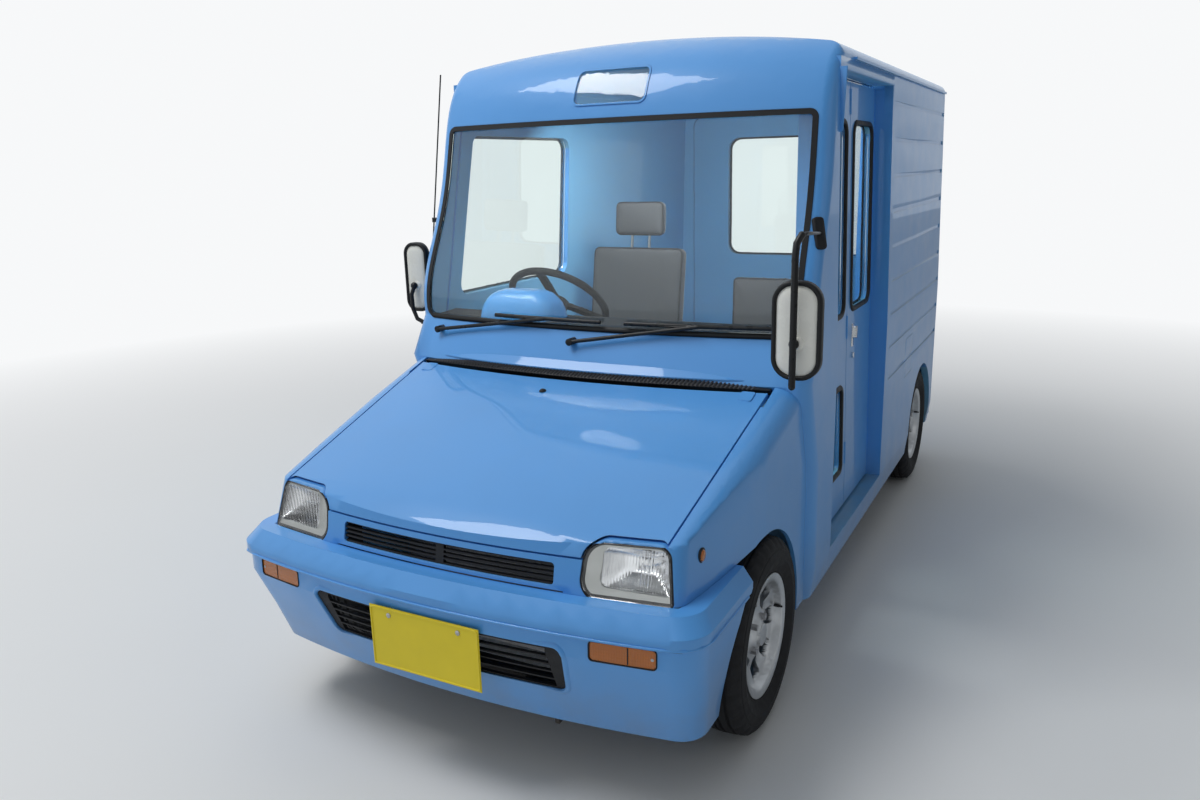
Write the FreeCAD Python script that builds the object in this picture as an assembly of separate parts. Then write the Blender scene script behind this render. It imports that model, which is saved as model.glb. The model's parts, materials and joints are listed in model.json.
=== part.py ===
import FreeCAD, Part
import math
import os
from FreeCAD import Vector

# A small walk-through delivery van: a short sloping nose in front of a tall box body, with a
# two-leaf folding door on the kerb side, a hinged driver's door, a lift-up tailgate and a bonnet.
# Millimetres. Z is up, the front faces -Y, +X is the vehicle's left. The origin is on the ground
# under the middle of the vehicle.

# Overall sizes of the class of vehicle
LENGTH = 3295.0
WIDTH = 1395.0
HEIGHT = 1888.0
WHEELBASE = 2280.0
FRONT_AXLE_Y = -1048.5
REAR_AXLE_Y = FRONT_AXLE_Y + WHEELBASE
REAR_END_Y = LENGTH / 2
MIRROR_HALF_SPAN = 811.0

# Clearances
SEAT_GAP = 0.3
SHUT_GAP = 5.0
PIN_GAP = 0.05

# Wheels
TYRE_R = 268.0
TYRE_W = 145.0
TYRE_OUTER_X = 688.0
WHEEL_X = TYRE_OUTER_X - TYRE_W / 2
BEAD_R = 152.4
FLANGE_R = 168.0
STUB_R = 15.0
SPOKES = 8
KINGPIN_X = 500.0
STEER_LIMIT = 30.0

# Box body
SILL_Z = 200.0
SILL_DROP = 40.0
BODY_WALL = 30.0
REAR_WALL = 35.0
BODY_REAR_Y = 1612.0
BODY_REAR_CORNER = 36.0
ROOF_CORNER = 60.0
ROOF_BOW = 9.0
ROOF_HALF = 679.0
ROOF_SPLIT_Z = 1790.0
ROOF_FRONT_Y = -300.0
FRONT_POST_Y = -460.0
# Plan sections of the box: height, half width, corner radius, y where the bow starts, bow angle
LOWER_SECTIONS = [
    (SILL_Z, 684.0, 55.0, -690.0, 1.5),
    (300.0, 697.5, 55.0, -690.0, 1.5),
    (620.0, 697.5, 55.0, -692.0, 1.5),
    (892.0, 697.5, 54.0, -788.0, 13.0),
    (1020.0, 694.5, 52.0, -712.0, 13.0),
]
UPPER_SECTIONS = [
    (1020.0, 694.5, 52.0, -712.0, 13.0),
    (1340.0, 686.5, 50.0, -624.4, 13.0),
    (1643.0, 679.0, 48.0, -541.5, 13.0),
    (1760.0, 676.0, 46.0, -493.0, 13.0),
    (1810.0, 675.0, 45.0, -449.0, 13.0),
    (1855.0, 674.0, 44.0, -380.0, 13.0),
    (1900.0, 673.0, 43.0, -260.0, 13.0),
]

# Nose: sections across it: y, half width, shoulder radius, height at the middle
NOSE_SECTIONS = [
    (-1600.0, 622.0, 40.0, 600.0),
    (-1560.0, 622.0, 42.0, 651.0),
    (-1515.0, 622.0, 45.0, 683.0),
    (-1469.0, 632.0, 48.0, 701.0),
    (-1300.0, 650.0, 56.0, 754.0),
    (-1048.0, 668.0, 66.0, 834.0),
    (-860.0, 672.0, 74.0, 893.0),
    (-680.0, 672.0, 76.0, 950.0),
]
NOSE_CROWN = 4.0
# Plan sections of the nose: height, half width, corner radius, y where the bow starts, bow angle
NOSE_PLAN = [
    (140.0, 629.0, 45.0, -1530.0, 9.2),
    (540.0, 628.0, 45.0, -1524.0, 9.2),
    (680.0, 616.0, 50.0, -1483.0, 13.5),
    (1000.0, 590.0, 55.0, -1389.0, 20.0),
]
NOSE_FLARE = 9.0
NOSE_FOOT_Z = 548.3
WING_T = 12.0
BONNET_T = 14.0
BONNET_SHUT = [(573.0, -1700.0), (575.0, -1490.0), (597.0, -832.0)]
BONNET_REAR_MID_Y = -898.0
BONNET_LIP_Z = 634.0
# Bonnet hinge: its axis, and from where to where its barrels run on each side
BONNET_HINGE = (-856.0, 871.0)
BONNET_BARREL = (500.0, 530.0)
WING_BARREL = (530.3, 560.0)
# Cowl strip: gap to the bonnet, depth below and height above the nose's skin, how far it stands out
# from the screen's foot, and half its width
COWL_GAP = 14.0
COWL_DEEP = 15.0
COWL_RISE = 16.0
COWL_OUT = 18.0
COWL_HALF = 598.0
ARCH_Y = -1055.0
ARCH_Z = 250.0
ARCH_R = 305.0
REAR_ARCH_R = 292.0
LINER_R = 340.0
LINER_T = 8.0

# Headlamp outline seen from the front: x, z, corner radius
LAMP_OUTLINE = [
    (384.0, 541.0, 46.0),
    (604.0, 543.0, 12.0),
    (584.0, 674.0, 30.0),
    (394.0, 673.0, 52.0),
]
LAMP_GAP = 4.0
LENS_T = 5.0
LAMP_DEPTH = 80.0
LAMP_WALL = 6.0
UPPER_GRILLE = (319.0, 562.0, 615.0, 10.0)
# Shadow line under the front panel: half its width, height, depth
PANEL_GROOVE = (345.0, 4.0, 8.0)
PANEL_HALF = 430.0
LENS_IN = 1.0
GRILLE_IN = 3.0
GRILLE_T = 10.0
# Round side marker: y, z, radius, and how far out its face lies
MARKER = (-1400.0, 632.0, 15.0)
MARKER_X = 648.0

# Front bumper plan sections: height, half width, corner radius, y where the bow starts
BUMPER_BOW = 10.0
BUMPER_SECTIONS = [
    (200.0, 655.0, 70.0, -1499.0),
    (310.0, 672.0, 75.0, -1536.0),
    (430.0, 688.0, 80.0, -1585.0),
    (478.0, 690.0, 80.0, -1583.0),
    (486.0, 697.5, 85.0, -1592.6),
    (512.0, 697.5, 85.0, -1592.6),
    (548.0, 672.0, 80.0, -1560.0),
]
BUMPER_T = 15.0
BUMPER_LEDGE = 70.0
LEDGE_END_Y = -1240.0
# Lower grille opening: x, z, corner radius of its right half
LOWER_GRILLE = [(354.0, 307.0, 22.0), (375.0, 444.0, 22.0)]
INDICATOR = (441.0, 596.0, 431.0, 477.0, 9.0)
PLATE_W = 330.0
PLATE_H = 165.0
PLATE_T = 1.5
PLATE_Y = -1645.0
PLATE_Z = 375.0
REAR_POCKET = 12.0
REAR_PLATE_Z = 345.0

# Screens and windows
SEAL_W = 16.0
SEAL_PROUD = 3.0
SEAL_DEEP = 12.0
GLASS_IN = 2.0
GLASS_T = 5.0
# Windscreen outline: x, z, corner radius
SCREEN = [(655.0, 1014.0, 34.0), (639.0, 1646.0, 26.0)]
HEADER_WINDOW = (127.0, 1685.0, 1798.0, 24.0)
HEADER_SEAL_W = 6.0
TAIL_WINDOW = (400.0, 1022.0, 1632.0, 60.0)

# Kerb-side doorway and its folding door
DOORWAY_REAR_Y = 315.0
DOORWAY_TOP_Z = 1755.0
STEP_Z = 295.0
JAMB_X = 565.0
JAMB_W = 26.0
LEAF_T = 30.0
LEAF_BASE_X = 647.5
LEAF_BASE_Z = STEP_Z + 10.0
LEAF_TOP_Z = DOORWAY_TOP_Z - 10.0
LEAF_TOP_X = 615.0
LEAF_LEAN = math.degrees(math.atan2(LEAF_BASE_X - LEAF_TOP_X, LEAF_TOP_Z - LEAF_BASE_Z))
LEAF_H = (LEAF_TOP_Z - LEAF_BASE_Z) / math.cos(math.radians(LEAF_LEAN))
LEAF_PIVOT_Y = -437.0
LEAF_HINGE_Y = -71.0
LEAF_GUIDE_Y = 2 * LEAF_HINGE_Y - LEAF_PIVOT_Y
LEAF_SEAM_HALF = 2.5
LEAF_PIN_R = 6.0
LEAF_PIN_L = 18.0
GUIDE_PIN_R = 5.0
GUIDE_SLOT_HALF = 7.0
KNUCKLE_R = 4.0
KNUCKLE_L = 40.0
KNUCKLE_H = [150.0, 600.0, 1340.0]
LEAF_FRONT_Y = LEAF_PIVOT_Y - LEAF_T / 2
# Windows in the leaves, in each leaf's own height: y0, y1, height0, height1, corner radius
LEAF_FRONT_WINDOWS = [(-408.0, -118.0, 690.0, 1318.0, 45.0), (-398.0, -128.0, 140.0, 445.0, 30.0)]
LEAF_REAR_WINDOWS = [(-24.0, 264.0, 690.0, 1318.0, 45.0)]
LEAF_SEAL_W = 14.0

# Driver's door on the right: outline y, z, corner radius
DRIVER_DOOR = [(-600.0, 300.0, 40.0), (330.0, 300.0, 40.0), (330.0, 1715.0, 60.0),
               (-452.0, 1715.0, 40.0), (-600.0, 1010.0, 60.0)]
DRIVER_WINDOW = [(-520.0, 1060.0, 40.0), (262.0, 1060.0, 50.0), (300.0, 1620.0, 50.0),
                 (-398.0, 1620.0, 40.0)]
DOOR_T = 35.0
DOOR_HINGE_X = -703.0
DOOR_HINGE_Y = -597.5
HINGE_R = 5.0
BARREL_L = 40.0
DOOR_HINGE_Z = [(450.0, 530.0), (820.0, 900.0)]

# Tailgate
GATE_HALF = 600.0
GATE_FOOT_Z = 500.0
GATE_TOP_Z = 1745.0
GATE_CORNER = 50.0
GATE_HINGE_Y = 1620.0
GATE_HINGE_X = [330.0, -330.0]

# Ribs pressed into the sides: height of each groove and their run
RIB_PITCH = 128.0
RIB_TOP_Z = 1697.0
RIB_COUNT = 9
RIB_H = 17.0
RIB_DEPTH = 4.0
RIB_START_Y = 375.0
RIB_END_Y = 1560.0
GUTTER_H = 8.0
GUTTER_OUT = 9.0
FUEL_LID = (745.0, 925.0, 595.0, 765.0, 16.0)

# Floor
CABIN_FLOOR_Z = 290.0
CARGO_FLOOR_Z = 520.0
FLOOR_T = 20.0
RISER_Y = 420.0
WHEELHOUSE_HALF = 300.0
WHEELHOUSE_X = 520.0
WHEELHOUSE_TOP_Z = 580.0
RAIL_X = (330.0, 380.0)
RAIL_Z = 215.0

# Steering wheel and column
WHEEL_RIM_R = 178.0
STEERING_AT = (-330.0, -375.0, 1030.0)
STEERING_TILT = 45.0
HUB_L = 45.0
COLUMN_R = 22.0
COLUMN_L = 600.0
WHEEL_GRIP_R = 13.0
HUB_R = 38.0

# Engine bay and front suspension
BAY_HALF = 358.0
BAY_PLATE_T = 12.0
SHELF_DROP = 72.0
BAY_Y = (-1430.0, -1400.0, -700.0)
SPRING_TOP = 700.0
TOW_EYE = (-1468.0, 175.0)
TOW_EYE_R = 13.0
ARM_Z = 172.0
ARM_T = 24.0
BALL_R = 9.0
STUB_END_X = 640.0
# Front structure: strut towers, cross-members (y0, y1, z0, z1) and the bumper's brackets
TOWER_R = (72.0, 60.0)
FRONT_MEMBER = (-1470.0, -1420.0, 215.0, 250.0)
ENGINE_MEMBER = (-1108.5, -1008.5, 165.0, 235.0)
BUMPER_BRACKET = (180.0, 230.0, -1600.0, -1460.0)
TOW_PLATE = (270.0, 282.0, -1490.0, -1440.0, 150.0, 225.0)
ENGINE = (290.0, -1330.0, -900.0, 610.0)
# Rear axle: differential's middle and radius, tube radius and half length, springs and hangers
DIFF_X = 60.0
DIFF_R = 70.0
AXLE_TUBE_R = 28.0
AXLE_TUBE_HALF = 540.0
SPRING = (420.0, 470.0, 780.0, 1560.0, 20.0, 45.0)
HANGER_Y = (800.0, 1540.0)

# Exhaust: pipe height, and where it rises over the axle
PIPE_Z = 250.0
PIPE_X = -180.0
TAIL_X = -230.0
PIPE_R = 19.0
TAIL_R = 17.0
TAIL_RISE = 150.0
TAIL_Y = 1535.0
TAIL_END_Z = 190.0
SILENCER = (-300.0, -140.0, 780.0, 1080.0, 60.0, 30.0)
EXHAUST_HANGERS = [(TAIL_X, 1110.0), (PIPE_X, -300.0)]
TANK = (-40.0, 300.0, 450.0, 1080.0, 330.0, 30.0)

# Cabin: the dash's section and the binnacle's, both y, z, corner radius
DASH_SECTION = [(-900.0, 760.0, 1.0), (-620.0, 760.0, 20.0), (-540.0, 800.0, 20.0),
                (-512.0, 975.0, 30.0), (-560.0, 1024.0, 30.0), (-900.0, 1012.0, 1.0)]
DASH_X0 = -640.0
DASH_HOLLOW = (-650.0, 990.0)
BINNACLE_SECTION = [(-700.0, 1000.0, 1.0), (-560.0, 1000.0, 1.0), (-560.0, 1090.0, 30.0),
                    (-620.0, 1130.0, 60.0), (-700.0, 1100.0, 30.0)]
BINNACLE_X = (-450.0, -183.0)
SEAT_Z = 570.0
BASE_WALL = 20.0
# Seat bases: x0, x1, y0, y1, where the open front starts
SEAT_BASES = [(-540.0, -130.0, -150.0, 300.0), (60.0, 400.0, 150.0, 390.0)]
DRIVER_SEAT_X = (-560.0, -110.0)
DRIVER_CUSHION = (-190.0, 260.0, 680.0)
DRIVER_BACK = [(190.0, 690.0, 20.0), (300.0, 690.0, 20.0), (375.0, 1180.0, 40.0), (275.0, 1180.0, 40.0)]
HEAD_REST = [(300.0, 1200.0, 20.0), (370.0, 1200.0, 20.0), (385.0, 1360.0, 30.0), (315.0, 1360.0, 30.0)]
HEAD_REST_X = (-455.0, -215.0)
REST_POST = [(325.0, 1170.0, 1.0), (345.0, 1170.0, 1.0), (350.0, 1210.0, 1.0), (330.0, 1210.0, 1.0)]
REST_POST_X = (-365.0, -305.0)
JUMP_SEAT_X = (40.0, 420.0)
JUMP_CUSHION = (70.0, 400.0, 650.0)
JUMP_BACK = [(360.0, 640.0, 15.0), (410.0, 640.0, 15.0), (430.0, 1050.0, 25.0), (370.0, 1050.0, 25.0)]

# Mirrors: head centre, half width, half height and arm route on each side
MIRROR_T = 26.0
MIRROR_FOOT_X = 652.0
LEFT_HEAD = (MIRROR_HALF_SPAN - 61.0, -1100.0, 1110.0, 61.0, 120.0)
RIGHT_HEAD = (-(MIRROR_HALF_SPAN - 50.0), -624.0, 1137.0, 50.0, 122.0)
LEFT_ARM = [(692.0, -652.0, 1300.0), (740.0, -720.0, 1310.0), (750.0, -1085.0, 1345.0),
            (750.0, -1128.0, 1300.0), (750.0, -1134.0, 975.0)]
RIGHT_ARM = [(-692.0, -648.0, 1210.0), (-728.0, -660.0, 1205.0), (-761.0, -660.0, 1185.0),
             (-761.0, -658.0, 1080.0)]

# Wipers: pivot x, blade start and end x; both park pointing to the left of the vehicle
WIPERS = [(-570.0, -330.0, 60.0), (-30.0, 140.0, 600.0)]
WIPER_PIVOT_Z = 985.0
BLADE_Z = 1046.0


def box(x0, x1, y0, y1, z0, z1):
    return Part.makeBox(x1 - x0, y1 - y0, z1 - z0, Vector(x0, y0, z0))


def rod(start, direction, radius, length):
    return Part.makeCylinder(radius, length, Vector(*start), Vector(*direction))


def fuse(shapes):
    return shapes[0] if len(shapes) == 1 else shapes[0].fuse(shapes[1:])


def both_sides(shape):
    """A right-hand shape together with its mirror image."""
    return Part.makeCompound([shape, mirrored(shape)])


def mirrored(shape):
    return shape.mirror(Vector(0, 0, 0), Vector(1, 0, 0))


def solids(shape):
    """The shape as one solid, or as a compound of its solids."""
    found = shape.Solids
    return found[0] if len(found) == 1 else Part.makeCompound(found)


def rounded_face(corners, place):
    """A face inside a polygon given as (u, v, corner radius), put in space by place(u, v)."""
    count = len(corners)
    starts, middles, ends = [], [], []
    for i in range(count):
        u, v, radius = corners[i]
        here = Vector(u, v, 0)
        before = Vector(corners[i - 1][0], corners[i - 1][1], 0) - here
        after = Vector(corners[(i + 1) % count][0], corners[(i + 1) % count][1], 0) - here
        before.normalize()
        after.normalize()
        half = before.getAngle(after) / 2
        inward = before + after
        inward.normalize()
        reach = radius / math.tan(half)
        starts.append(here + before * reach)
        ends.append(here + after * reach)
        middles.append(here + inward * (radius / math.sin(half) - radius))
    edges = []
    for i in range(count):
        points = [place(p.x, p.y) for p in (starts[i], middles[i], ends[i], starts[(i + 1) % count])]
        edges.append(Part.Arc(points[0], points[1], points[2]).toShape())
        if points[2].distanceToPoint(points[3]) > 1e-6:
            edges.append(Part.makeLine(points[2], points[3]))
    return Part.Face(Part.Wire(edges))


def grown(corners, by):
    """The polygon's corners moved out by a distance, with their radii following."""
    count = len(corners)
    area = sum(corners[i - 1][0] * corners[i][1] - corners[i][0] * corners[i - 1][1]
               for i in range(count))
    turn = 1.0 if area > 0 else -1.0
    result = []
    for i in range(count):
        before = Vector(corners[i][0] - corners[i - 1][0], corners[i][1] - corners[i - 1][1], 0)
        following = corners[(i + 1) % count]
        after = Vector(following[0] - corners[i][0], following[1] - corners[i][1], 0)
        before.normalize()
        after.normalize()
        n1 = Vector(before.y, -before.x, 0) * turn
        n2 = Vector(after.y, -after.x, 0) * turn
        shift = (n1 + n2) * (by / (1 + n1.dot(n2)))
        radius = max(corners[i][2] + by, 1.0)
        result.append((corners[i][0] + shift.x, corners[i][1] + shift.y, radius))
    return result


def prism_x(corners, x0, x1):
    return rounded_face(corners, lambda u, v: Vector(x0, u, v)).extrude(Vector(x1 - x0, 0, 0))


def prism_y(corners, y0, y1):
    return rounded_face(corners, lambda u, v: Vector(u, y0, v)).extrude(Vector(0, y1 - y0, 0))


def prism_z(corners, z0, z1):
    return rounded_face(corners, lambda u, v: Vector(u, v, z0)).extrude(Vector(0, 0, z1 - z0))


def rectangle(u0, u1, v0, v1, radius):
    return [(u0, v0, radius), (u1, v0, radius), (u1, v1, radius), (u0, v1, radius)]


def symmetric(right_half):
    """A polygon symmetric in u from the corners of its right half, listed upwards."""
    return right_half + [(-u, v, r) for u, v, r in reversed(right_half)]


def bowed_wire(half, corner, shoulder, bow, far, far_corner, place, flare=0.0):
    """A closed outline with one bowed side, two round corners, straight sides and a flat far side.

    The bowed side meets its corners at v = shoulder, and the flat side lies at v = far. The
    straight sides spread by the flare angle away from the bowed side.
    """
    angle = math.radians(bow)
    spread = math.radians(flare)
    u_bow = half - corner + corner * math.sin(angle)
    sag = u_bow * math.tan(angle / 2)
    corner_v = shoulder - corner * math.cos(angle)
    middle = (math.pi / 2 - angle + spread) / 2
    corner_middle = (half - corner + corner * math.cos(middle), corner_v + corner * math.sin(middle))
    side = (half - corner + corner * math.cos(spread), corner_v + corner * math.sin(spread))
    foot_u = side[0] + (side[1] - far) * math.tan(spread)
    cut = far_corner * (1 - math.sqrt(0.5))
    points = [
        (-u_bow, shoulder), (0.0, shoulder + sag), (u_bow, shoulder), corner_middle,
        side, (foot_u, far + far_corner), (foot_u - cut, far + cut),
        (foot_u - far_corner, far),
    ]
    p = [place(u, v) for u, v in points]
    m = [place(-u, v) for u, v in points]
    return Part.Wire([
        Part.Arc(p[0], p[1], p[2]).toShape(),
        Part.Arc(p[2], p[3], p[4]).toShape(),
        Part.makeLine(p[4], p[5]),
        Part.Arc(p[5], p[6], p[7]).toShape(),
        Part.makeLine(p[7], m[7]),
        Part.Arc(m[7], m[6], m[5]).toShape(),
        Part.makeLine(m[5], m[4]),
        Part.Arc(m[4], m[3], m[2]).toShape(),
    ])


def plan_wire(z, half, corner, shoulder_y, bow, far_y, far_corner):
    return bowed_wire(half, corner, -shoulder_y, bow, -far_y, far_corner,
                      lambda u, v: Vector(u, -v, z))


made = {}


def kept(maker, inset):
    """The solid that maker builds for an inset, built once."""
    key = (maker.__name__, round(inset, 3))
    if key not in made:
        made[key] = maker(inset)
    return made[key]


def roof_envelope(inset):
    """All that lies under the roof's cross-section."""
    half = ROOF_HALF - inset
    corner = max(ROOF_CORNER - inset, 12.0)
    angle = math.radians(ROOF_BOW)
    u_bow = half - corner + corner * math.sin(angle)
    shoulder = HEIGHT - inset - u_bow * math.tan(angle / 2)
    corner_v = shoulder - corner * math.cos(angle)
    middle = (math.pi / 2 - angle) / 2
    wide = WIDTH / 2 + 40.0
    step_z = 1700.0
    right = [(u_bow, shoulder),
             (half - corner + corner * math.cos(middle), corner_v + corner * math.sin(middle)),
             (half, corner_v), (half, step_z), (wide, step_z), (wide, 100.0)]
    y0, y1 = -1000.0, BODY_REAR_Y + 60.0
    p = [Vector(u, y0, v) for u, v in right]
    m = [Vector(-u, y0, v) for u, v in right]
    edges = [
        Part.Arc(m[0], Vector(0, y0, HEIGHT - inset), p[0]).toShape(),
        Part.Arc(p[0], p[1], p[2]).toShape(),
        Part.makeLine(p[2], p[3]), Part.makeLine(p[3], p[4]), Part.makeLine(p[4], p[5]),
        Part.makeLine(p[5], m[5]),
        Part.makeLine(m[5], m[4]), Part.makeLine(m[4], m[3]), Part.makeLine(m[3], m[2]),
        Part.Arc(m[2], m[1], m[0]).toShape(),
    ]
    return Part.Face(Part.Wire(edges)).extrude(Vector(0, y1 - y0, 0))


def box_body(inset):
    """The box body's volume, its skin moved in by a distance, open at the sill if moved in."""
    rear = BODY_REAR_Y - inset if inset < BODY_WALL else BODY_REAR_Y - inset - (REAR_WALL - BODY_WALL)

    def wire(section, drop=0.0):
        z, half, corner, shoulder_y, bow = section
        return plan_wire(z - drop, half - inset, max(corner - inset, 12.0), shoulder_y + inset, bow,
                         rear, max(BODY_REAR_CORNER - inset, 5.0))
    below = [wire(LOWER_SECTIONS[0], SILL_DROP)] if inset > 0 else []
    lower = Part.makeLoft(below + [wire(s) for s in LOWER_SECTIONS], True, True)
    upper = Part.makeLoft([wire(s) for s in UPPER_SECTIONS], True, False)
    return lower.fuse(upper).common(roof_envelope(inset))


def straight_body(inset):
    """The box body behind its front posts as one straight run, its skin moved in by a distance."""
    right = [(half - inset, z) for z, half, _, _, _ in LOWER_SECTIONS[:-1] + UPPER_SECTIONS]
    if inset > 0:
        right.insert(0, (right[0][0], right[0][1] - SILL_DROP))
    outline = right + [(-x, z) for x, z in reversed(right)]
    y0 = FRONT_POST_Y - 40.0
    points = [Vector(x, y0, z) for x, z in outline]
    run = Part.Face(Part.makePolygon(points + [points[0]])).extrude(Vector(0, BODY_REAR_Y - y0, 0))
    return run.common(roof_envelope(inset))


def nose(inset):
    """The nose's volume under bonnet and wings, its skin moved in by a distance."""
    foot = 150.0 if inset <= 0 else 100.0
    rear_extra = 0.0 if inset <= 0 else 20.0
    wires = []
    for y, half, corner, middle_z in NOSE_SECTIONS:
        half_in = half - inset
        corner_in = max(corner - inset, 10.0)
        angle = math.radians(NOSE_CROWN)
        u_bow = half_in - corner_in + corner_in * math.sin(angle)
        shoulder = middle_z - inset - u_bow * math.tan(angle / 2)
        at_y = y + (rear_extra if y == NOSE_SECTIONS[-1][0] else 0.0)
        wires.append(bowed_wire(half_in, corner_in, shoulder, NOSE_CROWN, foot, 5.0,
                                lambda u, v, y=at_y: Vector(u, y, v)))
    across = Part.makeLoft(wires, True, True)
    plan = Part.makeLoft([bowed_wire(half - inset, max(corner - inset, 5.0), -shoulder - inset, bow,
                                     0.0, 5.0, lambda u, v, z=z: Vector(u, -v, z), NOSE_FLARE)
                          for z, half, corner, shoulder, bow in NOSE_PLAN], True, True)
    return across.common(plan)


def bumper_volume(inset):
    """The front bumper's volume, its skin moved in by a distance."""
    wires = []
    for i, (z, half, corner, shoulder) in enumerate(BUMPER_SECTIONS):
        if inset > 0 and i == 0:
            z -= 30.0
        if inset > 0 and i == len(BUMPER_SECTIONS) - 1:
            z -= inset
        wires.append(plan_wire(z, half - inset, max(corner - inset, 8.0), shoulder + inset, BUMPER_BOW,
                               -900.0, 5.0))
    return Part.makeLoft(wires, True, True)


def skin(maker, outer, inner):
    """What lies between two insets of a volume, built once."""
    key = (maker.__name__, outer, inner)
    if key not in made:
        made[key] = kept(maker, outer).cut(kept(maker, inner))
    return made[key]


def larger(shape, least):
    """The shape's solids that are over a volume, as one shape."""
    return solids(Part.makeCompound([s for s in shape.Solids if s.Volume > least]))


def front_cutter(outline, y0=-1800.0, y1=-300.0):
    return prism_y(outline, y0, y1)


def front_layer(block, thickness, start=0.0):
    """The front of a block that runs back in Y: a layer that follows its front face."""
    moved = block.translated(Vector(0, start, 0)) if start else block
    return moved.cut(block.translated(Vector(0, start + thickness, 0)))


def front_y(x, z):
    """Where the screen's outer surface lies, from the section table."""
    table = LOWER_SECTIONS[:-1] + UPPER_SECTIONS
    for low, high in zip(table, table[1:]):
        if z <= high[0]:
            break
    share = (z - low[0]) / (high[0] - low[0])
    half, corner, shoulder_y, bow = [a + (b - a) * share for a, b in zip(low[1:], high[1:])]
    angle = math.radians(bow)
    u_bow = half - corner + corner * math.sin(angle)
    radius = u_bow / math.sin(angle)
    return shoulder_y - u_bow * math.tan(angle / 2) + radius - math.sqrt(radius ** 2 - x ** 2)


def bonnet_plan(gap):
    """The bonnet's outline from above, its edges moved out by a gap."""
    sides = [(x + gap, y) for x, y in BONNET_SHUT]
    rear_x, rear_y = sides[-1]
    rear_y += gap
    edges = [
        Part.makeLine(Vector(-sides[0][0], sides[0][1], 0), Vector(sides[0][0], sides[0][1], 0)),
        Part.makeLine(Vector(sides[0][0], sides[0][1], 0), Vector(sides[1][0], sides[1][1], 0)),
        Part.makeLine(Vector(sides[1][0], sides[1][1], 0), Vector(rear_x, rear_y, 0)),
        Part.Arc(Vector(rear_x, rear_y, 0), Vector(0, BONNET_REAR_MID_Y + gap, 0),
                 Vector(-rear_x, rear_y, 0)).toShape(),
        Part.makeLine(Vector(-rear_x, rear_y, 0), Vector(-sides[1][0], sides[1][1], 0)),
        Part.makeLine(Vector(-sides[1][0], sides[1][1], 0), Vector(-sides[0][0], sides[0][1], 0)),
    ]
    return Part.Face(Part.Wire(edges)).extrude(Vector(0, 0, 1200))


def bonnet_front(gap):
    """All above the bonnet's front lip, its edge lowered by a gap."""
    return box(-700.0, 700.0, -1800.0, -300.0, BONNET_LIP_Z - gap, 1200.0)


def lamp_cutter(grow):
    return both_sides(front_cutter(grown(LAMP_OUTLINE, grow)))


def arch_cylinder(y, z, radius):
    return rod((-800.0, y, z), (1, 0, 0), radius, 1600.0)


def make_bonnet():
    shell = skin(nose, 0, BONNET_T)
    bonnet = shell.common(bonnet_plan(0.0)).common(bonnet_front(0.0))
    bonnet = bonnet.cut(lamp_cutter(LAMP_GAP + SHUT_GAP))
    y = BONNET_HINGE[0]
    notch = box(BONNET_BARREL[1], WING_BARREL[1] + SHUT_GAP, y - HINGE_R - 6.0, y + 60.0, 0, 1200)
    bonnet = bonnet.cut(both_sides(notch))
    return solids(bonnet.fuse([hinge_barrel(BONNET_BARREL), mirrored(hinge_barrel(BONNET_BARREL))]))


def hinge_barrel(run):
    """A barrel of the bonnet's hinge on the vehicle's left."""
    return rod((run[0], BONNET_HINGE[0], BONNET_HINGE[1]), (1, 0, 0), HINGE_R, run[1] - run[0])


def make_front_wings():
    shell = skin(nose, 0, WING_T).cut(bonnet_plan(SHUT_GAP)).cut(lamp_cutter(LAMP_GAP))
    shell = shell.cut(arch_cylinder(ARCH_Y, ARCH_Z, ARCH_R))
    below = box(-800, 800, -1700, ARCH_Y, 0, NOSE_FOOT_Z)
    middle = box(-500, 500, -1700, -1300, 0, 1000)
    shell = shell.cut(below).cut(middle).cut(box(-800, 800, -1060, -600, 0, SILL_Z + 5.0))
    shell = shell.cut(box(-607, 607, -900, -600, 0, 1200))
    shell = shell.cut(kept(box_body, -SEAT_GAP))
    return larger(shell, 20000.0)


def make_front_panel():
    shell = skin(nose, 0, BONNET_T).cut(lamp_cutter(LAMP_GAP)).cut(bonnet_front(SHUT_GAP))
    half, z0, z1, radius = UPPER_GRILLE
    panel = shell.common(box(-PANEL_HALF, PANEL_HALF, -1700, -1480, NOSE_FOOT_Z, 700))
    panel = panel.cut(front_cutter(rectangle(-half, half, z0, z1, radius)))
    groove_half, groove_h, groove_in = PANEL_GROOVE
    groove = box(-groove_half, groove_half, -1700, -1480, NOSE_FOOT_Z - 1.0, NOSE_FOOT_Z + groove_h)
    panel = panel.cut(groove.cut(kept(nose, groove_in)))
    return larger(panel, 20000.0)


def slatted(face, count, z0, z1, slat, y0, y1):
    """A grille: a face-shaped plate with slots between its slats."""
    pitch = (z1 - z0) / (count + 1)
    for i in range(count + 1):
        low = z0 + i * pitch + (slat / 2 if i else 0.0)
        high = z0 + (i + 1) * pitch - (slat / 2 if i < count else 0.0)
        face = face.cut(box(-330, -12, y0, y1, low, high)).cut(box(12, 330, y0, y1, low, high))
    return face


def make_grilles():
    half, z0, z1, radius = UPPER_GRILLE
    outline = grown(rectangle(-half, half, z0, z1, radius), -SEAT_GAP)
    upper = front_layer(front_cutter(outline, -1700, -1450).common(kept(nose, LENS_IN)), GRILLE_T, GRILLE_IN)
    upper = slatted(upper, 3, z0 + 4.0, z1 - 4.0, 4.0, -1700, -1400)
    outline = grown(symmetric(LOWER_GRILLE), -SEAT_GAP)
    lower = front_layer(front_cutter(outline, -1700, -1500).common(kept(bumper_volume, LENS_IN)),
                        GRILLE_T, GRILLE_IN)
    lower = slatted(lower, 4, LOWER_GRILLE[0][1] + 6.0, LOWER_GRILLE[1][1] - 6.0, 5.0, -1700, -1400)
    return Part.makeCompound(upper.Solids + lower.Solids)


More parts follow.
